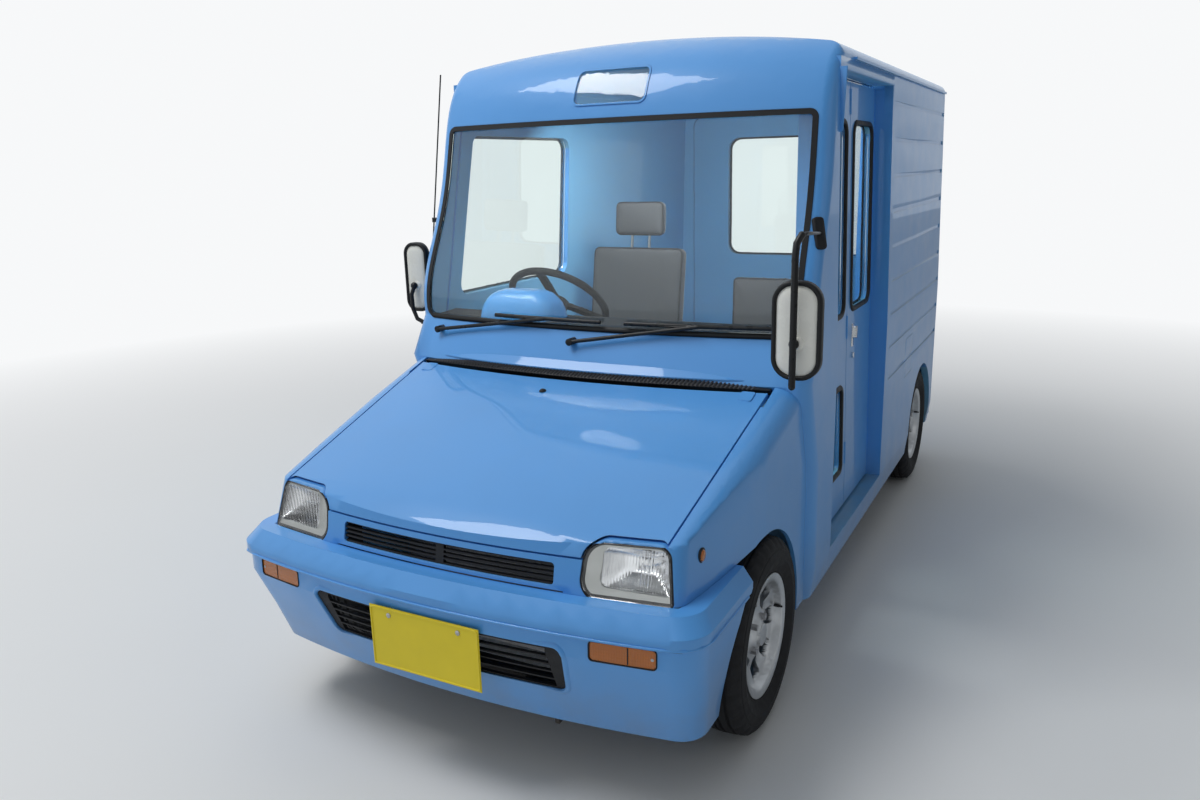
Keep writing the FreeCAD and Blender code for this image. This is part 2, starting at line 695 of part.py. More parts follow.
def lamp_block(grow):
    """The nose behind a headlamp outline on the left, as far back as a housing can reach."""
    block = front_cutter(grown(LAMP_OUTLINE, grow), -1700, -1380).common(kept(nose, LENS_IN))
    return block.cut(box(0, 800, -1800, -1300, 0, NOSE_FOOT_Z + max(-grow, 0.0)))


def make_headlamp_lenses():
    return both_sides(solids(front_layer(lamp_block(-SEAT_GAP), LENS_T)))


def make_headlamp_shells():
    """Housings with a rim round the lens, open to the front behind it."""
    cup = front_layer(lamp_block(LAMP_GAP - SEAT_GAP), LAMP_DEPTH)
    recess = front_layer(lamp_block(0.0), LENS_T + SEAT_GAP + 2.0, -2.0)
    hollow = front_layer(lamp_block(-LAMP_WALL), LAMP_DEPTH - LAMP_WALL + 2.0, -2.0)
    return both_sides(larger(cup.cut(recess).cut(hollow), 20000.0))


def make_front_bumper():
    shell = skin(bumper_volume, 0, BUMPER_T)
    deep = kept(bumper_volume, BUMPER_LEDGE)
    shell = shell.cut(deep).cut(deep.translated(Vector(0, 0, BUMPER_LEDGE + 20.0)))
    shell = shell.cut(arch_cylinder(ARCH_Y, ARCH_Z, ARCH_R + 2.0))
    shell = shell.cut(box(-800, 800, LEDGE_END_Y, -800, 0, 1000))
    shell = shell.cut(front_cutter(symmetric(LOWER_GRILLE)))
    x0, x1, z0, z1, radius = INDICATOR
    shell = shell.cut(both_sides(front_cutter(rectangle(x0, x1, z0, z1, radius))))
    return larger(shell, 20000.0)


def make_amber_lenses():
    x0, x1, z0, z1, radius = INDICATOR
    outline = grown(rectangle(x0, x1, z0, z1, radius), -SEAT_GAP)
    block = front_cutter(outline, -1700, -1500).common(kept(bumper_volume, LENS_IN))
    lamp = front_layer(block, BUMPER_T - LENS_IN)
    marker = rod((600.0, MARKER[0], MARKER[1]), (1, 0, 0), MARKER[2], MARKER_X - 600.0)
    marker = marker.cut(kept(nose, -SEAT_GAP))
    return Part.makeCompound(both_sides(lamp).Solids + both_sides(marker).Solids)


def make_number_plates():
    front = box(-PLATE_W / 2, PLATE_W / 2, PLATE_Y, PLATE_Y + PLATE_T,
                PLATE_Z - PLATE_H / 2, PLATE_Z + PLATE_H / 2)
    posts = [rod((x, PLATE_Y + PLATE_T, PLATE_Z + PLATE_H / 2 - 8.0), (0, 1, 0), 6.0, 30.0)
             for x in (-105.0, 105.0)]
    front = front.fuse(Part.makeCompound(posts).cut(kept(bumper_volume, -SEAT_GAP)))
    rear_y = REAR_END_Y - REAR_POCKET + SEAT_GAP
    rear = box(-PLATE_W / 2, PLATE_W / 2, rear_y, rear_y + PLATE_T,
               REAR_PLATE_Z - PLATE_H / 2, REAR_PLATE_Z + PLATE_H / 2)
    return Part.makeCompound(front.Solids + [rear])


def make_cowl_grille():
    """The louvred strip between bonnet and screen, its front leaning like the screen's foot."""
    foot = kept(box_body, 0.0).translated(Vector(0, -COWL_OUT, 0))
    strip = kept(nose, -COWL_RISE).common(foot).cut(kept(nose, COWL_DEEP))
    strip = strip.common(box(-COWL_HALF, COWL_HALF, -1000, -700, 700, 1000))
    strip = strip.cut(bonnet_plan(COWL_GAP)).cut(kept(box_body, -SEAT_GAP))
    return larger(strip, 5000.0)


def screen_outline(grow):
    return grown(symmetric(SCREEN), grow)


def header_outline(grow):
    half, z0, z1, radius = HEADER_WINDOW
    return grown(rectangle(-half, half, z0, z1, radius), grow)


def make_front_mask():
    """The moulded front: screen frame, corner posts and scuttle down to the sill."""
    shell = skin(box_body, 0, BODY_WALL)
    below = box(-800, 800, -1000, FRONT_POST_Y, 0, ROOF_SPLIT_Z)
    above = box(-800, 800, -1000, ROOF_FRONT_Y, ROOF_SPLIT_Z, 2000)
    mask = shell.common(below.fuse(above))
    mask = mask.cut(front_cutter(screen_outline(SEAT_GAP))).cut(front_cutter(header_outline(SEAT_GAP)))
    post = box(JAMB_X, 800, FRONT_POST_Y - JAMB_W, FRONT_POST_Y, SILL_Z, ROOF_SPLIT_Z)
    post = post.common(kept(box_body, 0.0))
    mask = mask.fuse(post)
    mask = mask.cut(driver_opening(0.0))
    return solids(mask.fuse([hinge_half(z0, z0 + 40.0 - SEAT_GAP, -1) for z0, z1 in DOOR_HINGE_Z]))


def driver_opening(grow):
    outline = [(y, z, r) for y, z, r in DRIVER_DOOR]
    return prism_x(grown(outline, grow), -800.0, -400.0)


def hinge_half(z0, z1, side):
    """One half of a door hinge: its barrel and the leaf that carries it, fore or aft."""
    barrel = rod((DOOR_HINGE_X, DOOR_HINGE_Y, z0), (0, 0, 1), HINGE_R, z1 - z0)
    y0, y1 = sorted((DOOR_HINGE_Y, DOOR_HINGE_Y + side * 30.0))
    leaf = box(DOOR_HINGE_X - 1.0, -690.0, y0, y1, z0, z1)
    return barrel.fuse(leaf)


def make_front_glass():
    screen = front_cutter(screen_outline(-SEAL_W), -900, -300).common(kept(box_body, GLASS_IN))
    header = front_cutter(header_outline(-HEADER_SEAL_W), -900, -200).common(kept(box_body, GLASS_IN))
    return Part.makeCompound(front_layer(screen, GLASS_T).Solids + front_layer(header, GLASS_T).Solids)


def make_front_seals():
    rings = []
    for outline, width in ((screen_outline, SEAL_W), (header_outline, HEADER_SEAL_W)):
        hole = front_cutter(outline(-width + SEAT_GAP), -1000, -200)
        ring = front_cutter(outline(0.0), -1000, -200).cut(hole)
        rings += front_layer(ring.common(kept(box_body, -SEAL_PROUD)), SEAL_PROUD + SEAL_DEEP).Solids
    return Part.makeCompound(rings)


def make_roof():
    shell = skin(straight_body, 0, BODY_WALL)
    roof = shell.common(box(-800, 800, ROOF_FRONT_Y, BODY_REAR_Y - REAR_WALL, ROOF_SPLIT_Z, 2000))
    half = UPPER_SECTIONS[3][1]
    gutter = box(half - BODY_WALL / 2, half + GUTTER_OUT, ROOF_FRONT_Y, BODY_REAR_Y - 50.0,
                 ROOF_SPLIT_Z + 1.0, ROOF_SPLIT_Z + 1.0 + GUTTER_H)
    return solids(roof.fuse([gutter, mirrored(gutter)]))


def rib_cutter():
    """What the pressed grooves take out of both sides."""
    bands = []
    for i in range(RIB_COUNT):
        z = RIB_TOP_Z - i * RIB_PITCH
        bands.append(box(-800, 800, RIB_START_Y, RIB_END_Y, z - RIB_H / 2, z + RIB_H / 2))
    return Part.makeCompound(bands).cut(kept(straight_body, RIB_DEPTH))


def rear_arch_cutter():
    return arch_cylinder(REAR_AXLE_Y, TYRE_R, REAR_ARCH_R)


def side_shell():
    shell = skin(straight_body, 0, BODY_WALL)
    shell = shell.common(box(-800, 800, FRONT_POST_Y, BODY_REAR_Y - REAR_WALL, SILL_Z, ROOF_SPLIT_Z))
    return shell.cut(rear_arch_cutter()).cut(rib_cutter())


def leaf_place(shape):
    """Take a shape from the folding door's own upright frame to its leaning place."""
    shape = shape.copy()
    shape.rotate(Vector(0, 0, 0), Vector(0, 1, 0), -LEAF_LEAN)
    shape.translate(Vector(LEAF_BASE_X, 0, LEAF_BASE_Z))
    return shape


def doorway_frame():
    """The jambs, header and step that the folding door closes against, with its bearings."""
    y0, y1 = FRONT_POST_Y, DOORWAY_REAR_Y
    ring = [
        box(JAMB_X, 800, y1, y1 + JAMB_W, SILL_Z, ROOF_SPLIT_Z),
        box(JAMB_X, 800, y0, y1 + JAMB_W, DOORWAY_TOP_Z, ROOF_SPLIT_Z),
        box(JAMB_X, 800, y0, y1 + JAMB_W, SILL_Z, STEP_Z),
    ]
    frame = fuse(ring).common(kept(straight_body, 0.0))
    bottom = rod((-LEAF_T / 2, LEAF_PIVOT_Y, -LEAF_PIN_L - 12.0), (0, 0, 1), LEAF_PIN_R + PIN_GAP, 40.0)
    top = rod((-LEAF_T / 2, LEAF_PIVOT_Y, LEAF_H), (0, 0, 1), LEAF_PIN_R + PIN_GAP, LEAF_PIN_L + 10.0)
    bearings = leaf_place(Part.makeCompound([bottom, top]))
    guide_x = LEAF_TOP_X - LEAF_T / 2
    slot = box(guide_x - GUIDE_SLOT_HALF, guide_x + GUIDE_SLOT_HALF, -300.0, LEAF_GUIDE_Y + 8.0,
               DOORWAY_TOP_Z - 1.0, DOORWAY_TOP_Z + 18.0)
    return frame.cut(bearings).cut(slot)


def make_side_left():
    left = side_shell().common(box(0, 800, -1000, 2000, 0, 2000))
    left = left.cut(box(JAMB_X, 800, FRONT_POST_Y - 1.0, DOORWAY_REAR_Y, STEP_Z, DOORWAY_TOP_Z))
    side = left.fuse(doorway_frame())
    y0, y1, z0, z1, radius = FUEL_LID
    ring = prism_x(rectangle(y0, y1, z0, z1, radius), 500, 800).cut(
        prism_x(rectangle(y0 + 3, y1 - 3, z0 + 3, z1 - 3, radius - 3), 500, 800))
    return solids(side.cut(ring.cut(kept(straight_body, RIB_DEPTH))))


def make_side_right():
    right = side_shell().common(box(-800, 0, -1000, 2000, 0, 2000))
    return solids(right.cut(driver_opening(0.0)))


def make_rear_frame():
    shell = skin(box_body, 0, BODY_WALL)
    frame = shell.common(box(-800, 800, BODY_REAR_Y - REAR_WALL, 2000, SILL_Z, 2000))
    gate = front_cutter(rectangle(-GATE_HALF, GATE_HALF, GATE_FOOT_Z, GATE_TOP_Z, GATE_CORNER), 1500, 1700)
    frame = frame.cut(gate)
    for x in GATE_HINGE_X:
        barrel = rod((x + SEAT_GAP, GATE_HINGE_Y, GATE_TOP_Z), (1, 0, 0), HINGE_R, BARREL_L)
        arm = box(x + SEAT_GAP, x + SEAT_GAP + BARREL_L, BODY_REAR_Y - 5.0, GATE_HINGE_Y,
                  GATE_TOP_Z + 1.0, GATE_TOP_Z + 9.0)
        frame = frame.fuse([barrel, arm])
    return solids(frame)


def make_tailgate():
    outline = rectangle(-GATE_HALF, GATE_HALF, GATE_FOOT_Z, GATE_TOP_Z, GATE_CORNER)
    gate = front_cutter(grown(outline, -SHUT_GAP), BODY_REAR_Y - REAR_WALL, BODY_REAR_Y)
    half, z0, z1, radius = TAIL_WINDOW
    gate = gate.cut(front_cutter(rectangle(-half, half, z0, z1, radius), 1500, 1700))
    for x in GATE_HINGE_X:
        barrel = rod((x - BARREL_L, GATE_HINGE_Y, GATE_TOP_Z), (1, 0, 0), HINGE_R, BARREL_L)
        arm = box(x - BARREL_L, x, BODY_REAR_Y - 5.0, GATE_HINGE_Y, GATE_TOP_Z - 9.0, GATE_TOP_Z - 1.0)
        gate = gate.fuse([barrel, arm])
    handle = box(-60, 60, BODY_REAR_Y, BODY_REAR_Y + 14.0, 900, 925)
    return solids(gate.fuse(handle))


def make_tailgate_glass():
    half, z0, z1, radius = TAIL_WINDOW
    return front_cutter(rectangle(-half + SEAT_GAP, half - SEAT_GAP, z0 + SEAT_GAP, z1 - SEAT_GAP, radius),
                        BODY_REAR_Y - 12.0, BODY_REAR_Y - 6.0)


def make_rear_bumper():
    def plan(inset, z0, z1):
        half = 690.0 - inset
        return prism_z([(-half, 1500.0, 1.0), (half, 1500.0, 1.0),
                        (half, REAR_END_Y - inset, 55.0 - inset), (-half, REAR_END_Y - inset, 55.0 - inset)],
                       z0, z1)
    shell = plan(0.0, 235.0, 455.0).cut(plan(BUMPER_T, 200.0, 440.0))
    pocket = front_cutter(rectangle(-PLATE_W / 2 - 8, PLATE_W / 2 + 8, REAR_PLATE_Z - PLATE_H / 2 - 8,
                                    REAR_PLATE_Z + PLATE_H / 2 + 8, 8.0), REAR_END_Y - REAR_POCKET, 1700)
    return solids(shell.cut(pocket).cut(kept(box_body, -SEAT_GAP)))


def make_tail_lamps():
    lamp = front_cutter(rectangle(618.0, 668.0, 600.0, 860.0, 10.0), BODY_REAR_Y + SEAT_GAP,
                        BODY_REAR_Y + 18.0)
    return both_sides(lamp)


def make_driver_door():
    shell = skin(box_body, 0, DOOR_T)
    door = shell.common(driver_opening(-SHUT_GAP))
    door = door.cut(prism_x(DRIVER_WINDOW, -800, -400))
    halves = [hinge_half(z0 + 40.0, z1, 1) for z0, z1 in DOOR_HINGE_Z]
    handle = box(-705.0, -680.0, 200.0, 290.0, 880.0, 905.0)
    return solids(door.fuse(halves + [handle]))


def make_driver_door_glass():
    block = prism_x(grown(DRIVER_WINDOW, -SEAT_GAP), -800, -500).common(kept(box_body, 10.0))
    return solids(block.cut(block.translated(Vector(GLASS_T, 0, 0))))


def leaf_windows(windows, grow):
    return [prism_x(rectangle(y0 - grow, y1 + grow, h0 - grow, h1 + grow, radius + grow), -60, 60)
            for y0, y1, h0, h1, radius in windows]


def leaf_panel(y0, y1, windows, own_knuckles, other_knuckles):
    half_t = LEAF_T / 2
    panel = box(-LEAF_T, 0, y0 + half_t, y1, 0, LEAF_H)
    panel = panel.fuse(rod((-half_t, y0 + half_t, 0), (0, 0, 1), half_t, LEAF_H))
    for cutter in leaf_windows(windows, 0.0):
        panel = panel.cut(cutter)
    for h in other_knuckles:
        panel = panel.cut(rod((0, LEAF_HINGE_Y, h - 1.0), (0, 0, 1), KNUCKLE_R + 1.0, KNUCKLE_L + 2.0))
    for h in own_knuckles:
        panel = panel.fuse(rod((0, LEAF_HINGE_Y, h), (0, 0, 1), KNUCKLE_R, KNUCKLE_L))
    return panel


def make_leaf_front():
    own = KNUCKLE_H
    other = [h + KNUCKLE_L + SEAT_GAP for h in KNUCKLE_H]
    panel = leaf_panel(LEAF_FRONT_Y, LEAF_HINGE_Y - LEAF_SEAM_HALF, LEAF_FRONT_WINDOWS, own, other)
    pins = [rod((-LEAF_T / 2, LEAF_PIVOT_Y, -LEAF_PIN_L), (0, 0, 1), LEAF_PIN_R, LEAF_PIN_L + 1.0),
            rod((-LEAF_T / 2, LEAF_PIVOT_Y, LEAF_H - 1.0), (0, 0, 1), LEAF_PIN_R, LEAF_PIN_L + 1.0)]
    return solids(leaf_place(panel.fuse(pins)))


def make_leaf_rear():
    own = [h + KNUCKLE_L + SEAT_GAP for h in KNUCKLE_H]
    panel = leaf_panel(-LEAF_GUIDE_Y - LEAF_T / 2, -LEAF_HINGE_Y - LEAF_SEAM_HALF, [], [], [])
    panel = panel.mirror(Vector(0, 0, 0), Vector(0, 1, 0))
    for cutter in leaf_windows(LEAF_REAR_WINDOWS, 0.0):
        panel = panel.cut(cutter)
    for h in KNUCKLE_H:
        panel = panel.cut(rod((0, LEAF_HINGE_Y, h - 1.0), (0, 0, 1), KNUCKLE_R + 1.0, KNUCKLE_L + 2.0))
    knuckles = [rod((0, LEAF_HINGE_Y, h), (0, 0, 1), KNUCKLE_R, KNUCKLE_L) for h in own]
    guide = rod((-LEAF_T / 2, LEAF_GUIDE_Y, LEAF_H - 1.0), (0, 0, 1), GUIDE_PIN_R, 24.0)
    return solids(leaf_place(panel.fuse(knuckles + [guide])))


def leaf_glass(windows):
    middle = -LEAF_T / 2
    panes = [prism_x(grown(rectangle(y0, y1, h0, h1, radius), -SEAT_GAP),
                     middle - GLASS_T / 2, middle + GLASS_T / 2)
             for y0, y1, h0, h1, radius in windows]
    return solids(leaf_place(Part.makeCompound(panes)))


def make_leaf_handle():
    plate = box(SEAT_GAP, 4.0, -2.0, 24.0, 560.0, 640.0)
    grip = prism_x(rectangle(2.0, 20.0, 590.0, 632.0, 8.0), 4.0, 18.0)
    lock = rod((SEAT_GAP, 11.0, 528.0), (1, 0, 0), 10.0, 8.0)
    return Part.makeCompound([leaf_place(plate.fuse(grip)), leaf_place(lock)])


def make_floor_pan():
    inside = kept(box_body, BODY_WALL + SEAT_GAP)
    slabs = [
        box(-700, 700, -1000, RISER_Y, CABIN_FLOOR_Z - FLOOR_T, CABIN_FLOOR_Z),
        box(-700, 700, RISER_Y - FLOOR_T, RISER_Y, CABIN_FLOOR_Z - FLOOR_T, CARGO_FLOOR_Z),
        box(-700, 700, RISER_Y - FLOOR_T, 2000, CARGO_FLOOR_Z - FLOOR_T, CARGO_FLOOR_Z),
    ]
    doorway = box(JAMB_X - SEAT_GAP, 800, FRONT_POST_Y - JAMB_W - SEAT_GAP,
                  DOORWAY_REAR_Y + JAMB_W + SEAT_GAP, 0, 2000)
    floor = fuse(slabs).common(inside).cut(doorway)
    y0, y1 = REAR_AXLE_Y - WHEELHOUSE_HALF, REAR_AXLE_Y + WHEELHOUSE_HALF
    houses = both_sides(box(WHEELHOUSE_X, 700, y0, y1, CARGO_FLOOR_Z - FLOOR_T, WHEELHOUSE_TOP_Z))
    holes = both_sides(box(WHEELHOUSE_X + 8, 800, y0 + 8, y1 - 8, 0, WHEELHOUSE_TOP_Z - 8))
    floor = floor.fuse(houses.common(inside)).cut(holes)
    rails = [box(RAIL_X[0], RAIL_X[1], -655.0, 900.0, RAIL_Z, CABIN_FLOOR_Z - FLOOR_T),
             box(RAIL_X[0], RAIL_X[1], 700.0, 1560.0, 420.0, CARGO_FLOOR_Z - FLOOR_T),
             box(RAIL_X[0], RAIL_X[1], 700.0, 900.0, RAIL_Z, CARGO_FLOOR_Z - FLOOR_T)]
    for rail in rails:
        floor = floor.fuse([rail, mirrored(rail)])
    return solids(floor)


def bay_top():
    """Heights of the engine bay's sloping top at its front and rear ends."""
    shelf_y0, shelf_y1 = BAY_Y[1:]
    front, rear = NOSE_SECTIONS[3], NOSE_SECTIONS[6]
    slope = (rear[3] - front[3]) / (rear[0] - front[0])
    z0 = front[3] + (shelf_y0 - front[0]) * slope - SHELF_DROP
    return z0, z0 + (shelf_y1 - shelf_y0) * slope


def sloping_plate(y0, foot_0, foot_1, x0, x1):
    """A plate across from x0 to x1 whose upper edge follows the engine bay's top."""
    z0, z1 = bay_top()
    return prism_x([(y0, foot_0, 1.0), (BAY_Y[2], foot_1, 1.0), (BAY_Y[2], z1 + 10.0, 1.0),
                    (y0, z0 + 10.0, 1.0)], x0, x1)


def make_bay_sides():
    plate = sloping_plate(BAY_Y[0], RAIL_Z, RAIL_Z, BAY_HALF, BAY_HALF + BAY_PLATE_T)
    return both_sides(solids(plate.cut(kept(box_body, -SEAT_GAP))))


def make_wheel_liners():
    """Arch liners with the shelf above them, which carries the bonnet's hinges."""
    inner = BAY_HALF + BAY_PLATE_T + SEAT_GAP
    z0, z1 = bay_top()
    shelf = sloping_plate(BAY_Y[1], z0, z1, inner, 700.0)
    liner = rod((inner, FRONT_AXLE_Y, TYRE_R), (1, 0, 0), LINER_R + LINER_T, 320.0).cut(
        rod((inner - 1, FRONT_AXLE_Y, TYRE_R), (1, 0, 0), LINER_R, 330.0))
    liner = liner.common(box(inner, 800, -1600, -600, SILL_Z + 5.0, 1000))
    liner = liner.cut(box(0, 800, -1600, LEDGE_END_Y + 5.0, 0, NOSE_FOOT_Z))
    tower = rod((KINGPIN_X, FRONT_AXLE_Y, 0), (0, 0, 1), TOWER_R[0] + SEAT_GAP, 1000.0)
    outer = liner.fuse(shelf).common(kept(nose, WING_T + SEAT_GAP)).cut(tower)
    y, z = BONNET_HINGE
    hinge_post = box(*WING_BARREL, y - HINGE_R, y + HINGE_R, z - SHELF_DROP + 25.0, z)
    side = larger(outer.cut(kept(box_body, -SEAT_GAP)), 20000.0)
    return both_sides(solids(side.fuse([hinge_barrel(WING_BARREL), hinge_post])))


def make_strut_towers():
    outer, inner = TOWER_R
    tower = rod((KINGPIN_X, FRONT_AXLE_Y, SPRING_TOP - 110.0), (0, 0, 1), outer, 122.0)
    bore = rod((KINGPIN_X, FRONT_AXLE_Y, SPRING_TOP - 200.0), (0, 0, 1), inner, 200.0 + SEAT_GAP)
    tower = tower.cut(bore).common(kept(nose, WING_T + SEAT_GAP))
    return both_sides(solids(tower))


def make_front_members():
    """Cross-members between the engine bay's sides, the bumper's brackets and a towing eye."""
    arm_x = BAY_HALF - SEAT_GAP
    members = [box(-arm_x, arm_x, *FRONT_MEMBER), box(-arm_x, arm_x, *ENGINE_MEMBER)]
    bracket = box(*BUMPER_BRACKET, FRONT_MEMBER[2], FRONT_MEMBER[3])
    bracket = bracket.common(kept(bumper_volume, BUMPER_T + SEAT_GAP))
    tow = box(*TOW_PLATE).cut(rod((0, TOW_EYE[0], TOW_EYE[1]), (1, 0, 0), TOW_EYE_R, 400.0))
    front = fuse([members[0], bracket, mirrored(bracket), tow])
    return Part.makeCompound([solids(front), members[1]])


def make_engine_block():
    half, y0, y1, top = ENGINE
    return box(-half, half, y0, y1, ENGINE_MEMBER[3] + SEAT_GAP, top)


def make_lower_arms():
    inner = BAY_HALF + SEAT_GAP
    arm = prism_z([(inner, FRONT_AXLE_Y - 55.0, 4.0), (KINGPIN_X + 16.0, FRONT_AXLE_Y - 18.0, 15.0),
                   (KINGPIN_X + 16.0, FRONT_AXLE_Y + 18.0, 15.0), (inner, FRONT_AXLE_Y + 35.0, 4.0)],
                  ARM_Z, ARM_Z + ARM_T)
    arm = arm.cut(rod((KINGPIN_X, FRONT_AXLE_Y, 0), (0, 0, 1), BALL_R + PIN_GAP, 400.0))
    return both_sides(arm)


def make_knuckle():
    """The left steering knuckle: ball pin, hub carrier, stub axle, strut and spring."""
    pin = rod((KINGPIN_X, FRONT_AXLE_Y, ARM_Z), (0, 0, 1), BALL_R, 60.0)
    block = box(KINGPIN_X - 18.0, KINGPIN_X + 20.0, FRONT_AXLE_Y - 35.0, FRONT_AXLE_Y + 35.0,
                ARM_Z + ARM_T + 6.0, 330.0)
    strut = rod((KINGPIN_X, FRONT_AXLE_Y, 300.0), (0, 0, 1), 22.0, SPRING_TOP - 310.0)
    spring = rod((KINGPIN_X, FRONT_AXLE_Y, 575.0), (0, 0, 1), 45.0, SPRING_TOP - 575.0)
    hub = rod((KINGPIN_X + 10.0, FRONT_AXLE_Y, TYRE_R), (1, 0, 0), 40.0, 45.0)
    stub = rod((KINGPIN_X, FRONT_AXLE_Y, TYRE_R), (1, 0, 0), STUB_R, STUB_END_X - KINGPIN_X)
    arm = box(KINGPIN_X - 60.0, KINGPIN_X, FRONT_AXLE_Y + 15.0, FRONT_AXLE_Y + 33.0, 290.0, 305.0)
    return solids(fuse([pin, block, strut, spring, hub, stub, arm]))


def make_tyre():
    """A tyre about the X axis at the origin, its section a rounded trapezium over the rim."""
    half = TYRE_W / 2
    outline = [(-46.0, BEAD_R + SEAT_GAP), (-55.8, BEAD_R + SEAT_GAP), (-56.4, 169.0), (-59.0, 178.0),
               (-half, 205.0), (-half + 2.0, 228.0), (-60.0, 254.0), (-50.0, 265.0), (0.0, TYRE_R)]
    right = [(-x, r) for x, r in reversed(outline[:-1])]
    points = [Vector(x, 0, r) for x, r in outline + right]
    face = Part.Face(Part.makePolygon(points + [points[0]]))
    return face.revolve(Vector(0, 0, 0), Vector(1, 0, 0), 360)


def make_rim():
    """A cast wheel about the X axis at the origin: barrel, flanges and an eight-spoke disc."""
    half = 60.0
    barrel_points = [(-half, FLANGE_R), (-half, FLANGE_R - 6.0), (-half + 6.0, 144.0), (half - 6.0, 144.0),
                     (half, FLANGE_R - 6.0), (half, FLANGE_R), (half - 3.0, FLANGE_R), (half - 3.6, BEAD_R),
                     (-half + 3.6, BEAD_R), (-half + 3.0, FLANGE_R)]
    points = [Vector(x, 0, r) for x, r in barrel_points]
    barrel = Part.Face(Part.makePolygon(points + [points[0]])).revolve(Vector(0, 0, 0), Vector(1, 0, 0), 360)
    disc_points = [(5.0, STUB_R + PIN_GAP), (42.0, STUB_R + PIN_GAP), (42.0, 34.0), (30.0, 52.0),
                   (22.0, 100.0), (38.0, 146.0), (20.0, 146.0), (8.0, 100.0), (5.0, 52.0)]
    points = [Vector(x, 0, r) for x, r in disc_points]
    disc = Part.Face(Part.makePolygon(points + [points[0]])).revolve(Vector(0, 0, 0), Vector(1, 0, 0), 360)
    window = prism_x([(-17.0, 72.0, 8.0), (17.0, 72.0, 8.0), (30.0, 132.0, 12.0), (-30.0, 132.0, 12.0)],
                     0, 60)
    for i in range(SPOKES):
        cutter = window.copy()
        cutter.rotate(Vector(0, 0, 0), Vector(1, 0, 0), 360.0 * i / SPOKES)
        disc = disc.cut(cutter)
    cap = rod((42.0, 0, 0), (1, 0, 0), 30.0, 8.0)
    return solids(barrel.fuse([disc, cap]))


def wheel_place(shape, side, axle_y):
    placed = shape if side > 0 else mirrored(shape)
    return placed.translated(Vector(side * WHEEL_X, axle_y, TYRE_R))


def make_rear_axle():
    """Beam, differential, stub axles and leaf springs with their hangers."""
    half, tube = AXLE_TUBE_HALF, AXLE_TUBE_R
    profile = [(-STUB_END_X, 0.0), (-STUB_END_X, STUB_R), (-half, STUB_R), (-half, tube),
               (DIFF_X - 100.0, tube), (DIFF_X - 50.0, DIFF_R), (DIFF_X + 50.0, DIFF_R),
               (DIFF_X + 100.0, tube), (half, tube), (half, STUB_R), (STUB_END_X, STUB_R),
               (STUB_END_X, 0.0)]
    points = [Vector(x, REAR_AXLE_Y, TYRE_R + r) for x, r in profile]
    turned = Part.Face(Part.makePolygon(points + [points[0]]))
    x0, x1, y0, y1, low, high = SPRING
    middle = (x0 + x1) / 2
    top = CARGO_FLOOR_Z - FLOOR_T - SEAT_GAP
    pieces = [box(middle - 13.0, middle + 13.0, y - 15.0, y + 15.0, TYRE_R + 30.0, top) for y in HANGER_Y]
    pieces.append(box(x0, x1, y0, y1, TYRE_R + low, TYRE_R + high))
    beam = turned.revolve(Vector(0, REAR_AXLE_Y, TYRE_R), Vector(1, 0, 0), 360)
    return solids(fuse([beam] + pieces + [mirrored(p) for p in pieces]))


def make_exhaust():
    """Pipe, silencer, tail over the axle and hangers under the right side of the floor."""
    z, tail_z = PIPE_Z, PIPE_Z + TAIL_RISE
    x0, x1, y0, y1, half_h, radius = SILENCER
    tail = [(TAIL_X, y1 - 15.0, z), (TAIL_X, y1 + 20.0, tail_z), (TAIL_X, TAIL_Y, tail_z),
            (TAIL_X, TAIL_Y, TAIL_END_Z)]
    pieces = [rod((PIPE_X, -640.0, z), (0, 1, 0), PIPE_R, y0 + 650.0),
              prism_y(rectangle(x0, x1, z - half_h, z + half_h, radius), y0, y1),
              tube_path(tail, TAIL_R)]
    for (x, y), foot, floor_z in zip(EXHAUST_HANGERS, (tail_z, z), (CARGO_FLOOR_Z, CABIN_FLOOR_Z)):
        pieces.append(rod((x, y, foot), (0, 0, 1), 6.0, floor_z - FLOOR_T - foot - SEAT_GAP))
    return solids(fuse(pieces))


def make_fuel_tank():
    x0, x1, y0, y1, foot, radius = TANK
    return prism_z([(x0, y0, radius), (x1, y0, radius), (x1, y1, radius), (x0, y1, radius)],
                   foot, CARGO_FLOOR_Z - FLOOR_T - SEAT_GAP)


def make_dashboard():
    """The dash shelf across the cab, hollow below, with a domed binnacle before the driver."""
    inside = kept(box_body, BODY_WALL + SEAT_GAP)
    dash = prism_x(DASH_SECTION, DASH_X0, JAMB_X + 60.0).common(inside)
    dash = dash.cut(box(-800, 800, -1000, DASH_HOLLOW[0], 0, DASH_HOLLOW[1]))
    binnacle = prism_x(BINNACLE_SECTION, *BINNACLE_X)
    dash = dash.fuse(binnacle.common(inside))
    dash = dash.cut(rod(STEERING_AT, column_direction(), COLUMN_R + 3.0, 700.0))
    return larger(dash, 100000.0)


def column_direction():
    tilt = math.radians(STEERING_TILT)
    return (0.0, -math.sin(tilt), -math.cos(tilt))


def make_steering_column():
    x, y, z = STEERING_AT
    dx, dy, dz = column_direction()
    start = HUB_L + SEAT_GAP
    column = rod((x, y + dy * start, z + dz * start), (dx, dy, dz), COLUMN_R, COLUMN_L)
    return solids(column.cut(kept_outside_cabin()))


def kept_outside_cabin():
    """Everything that isn't the cab's inside, as a block with the cab's volume taken out."""
    block = box(-900, 900, -1400, 0, 0, 2000)
    return block.cut(kept(box_body, BODY_WALL + SEAT_GAP))


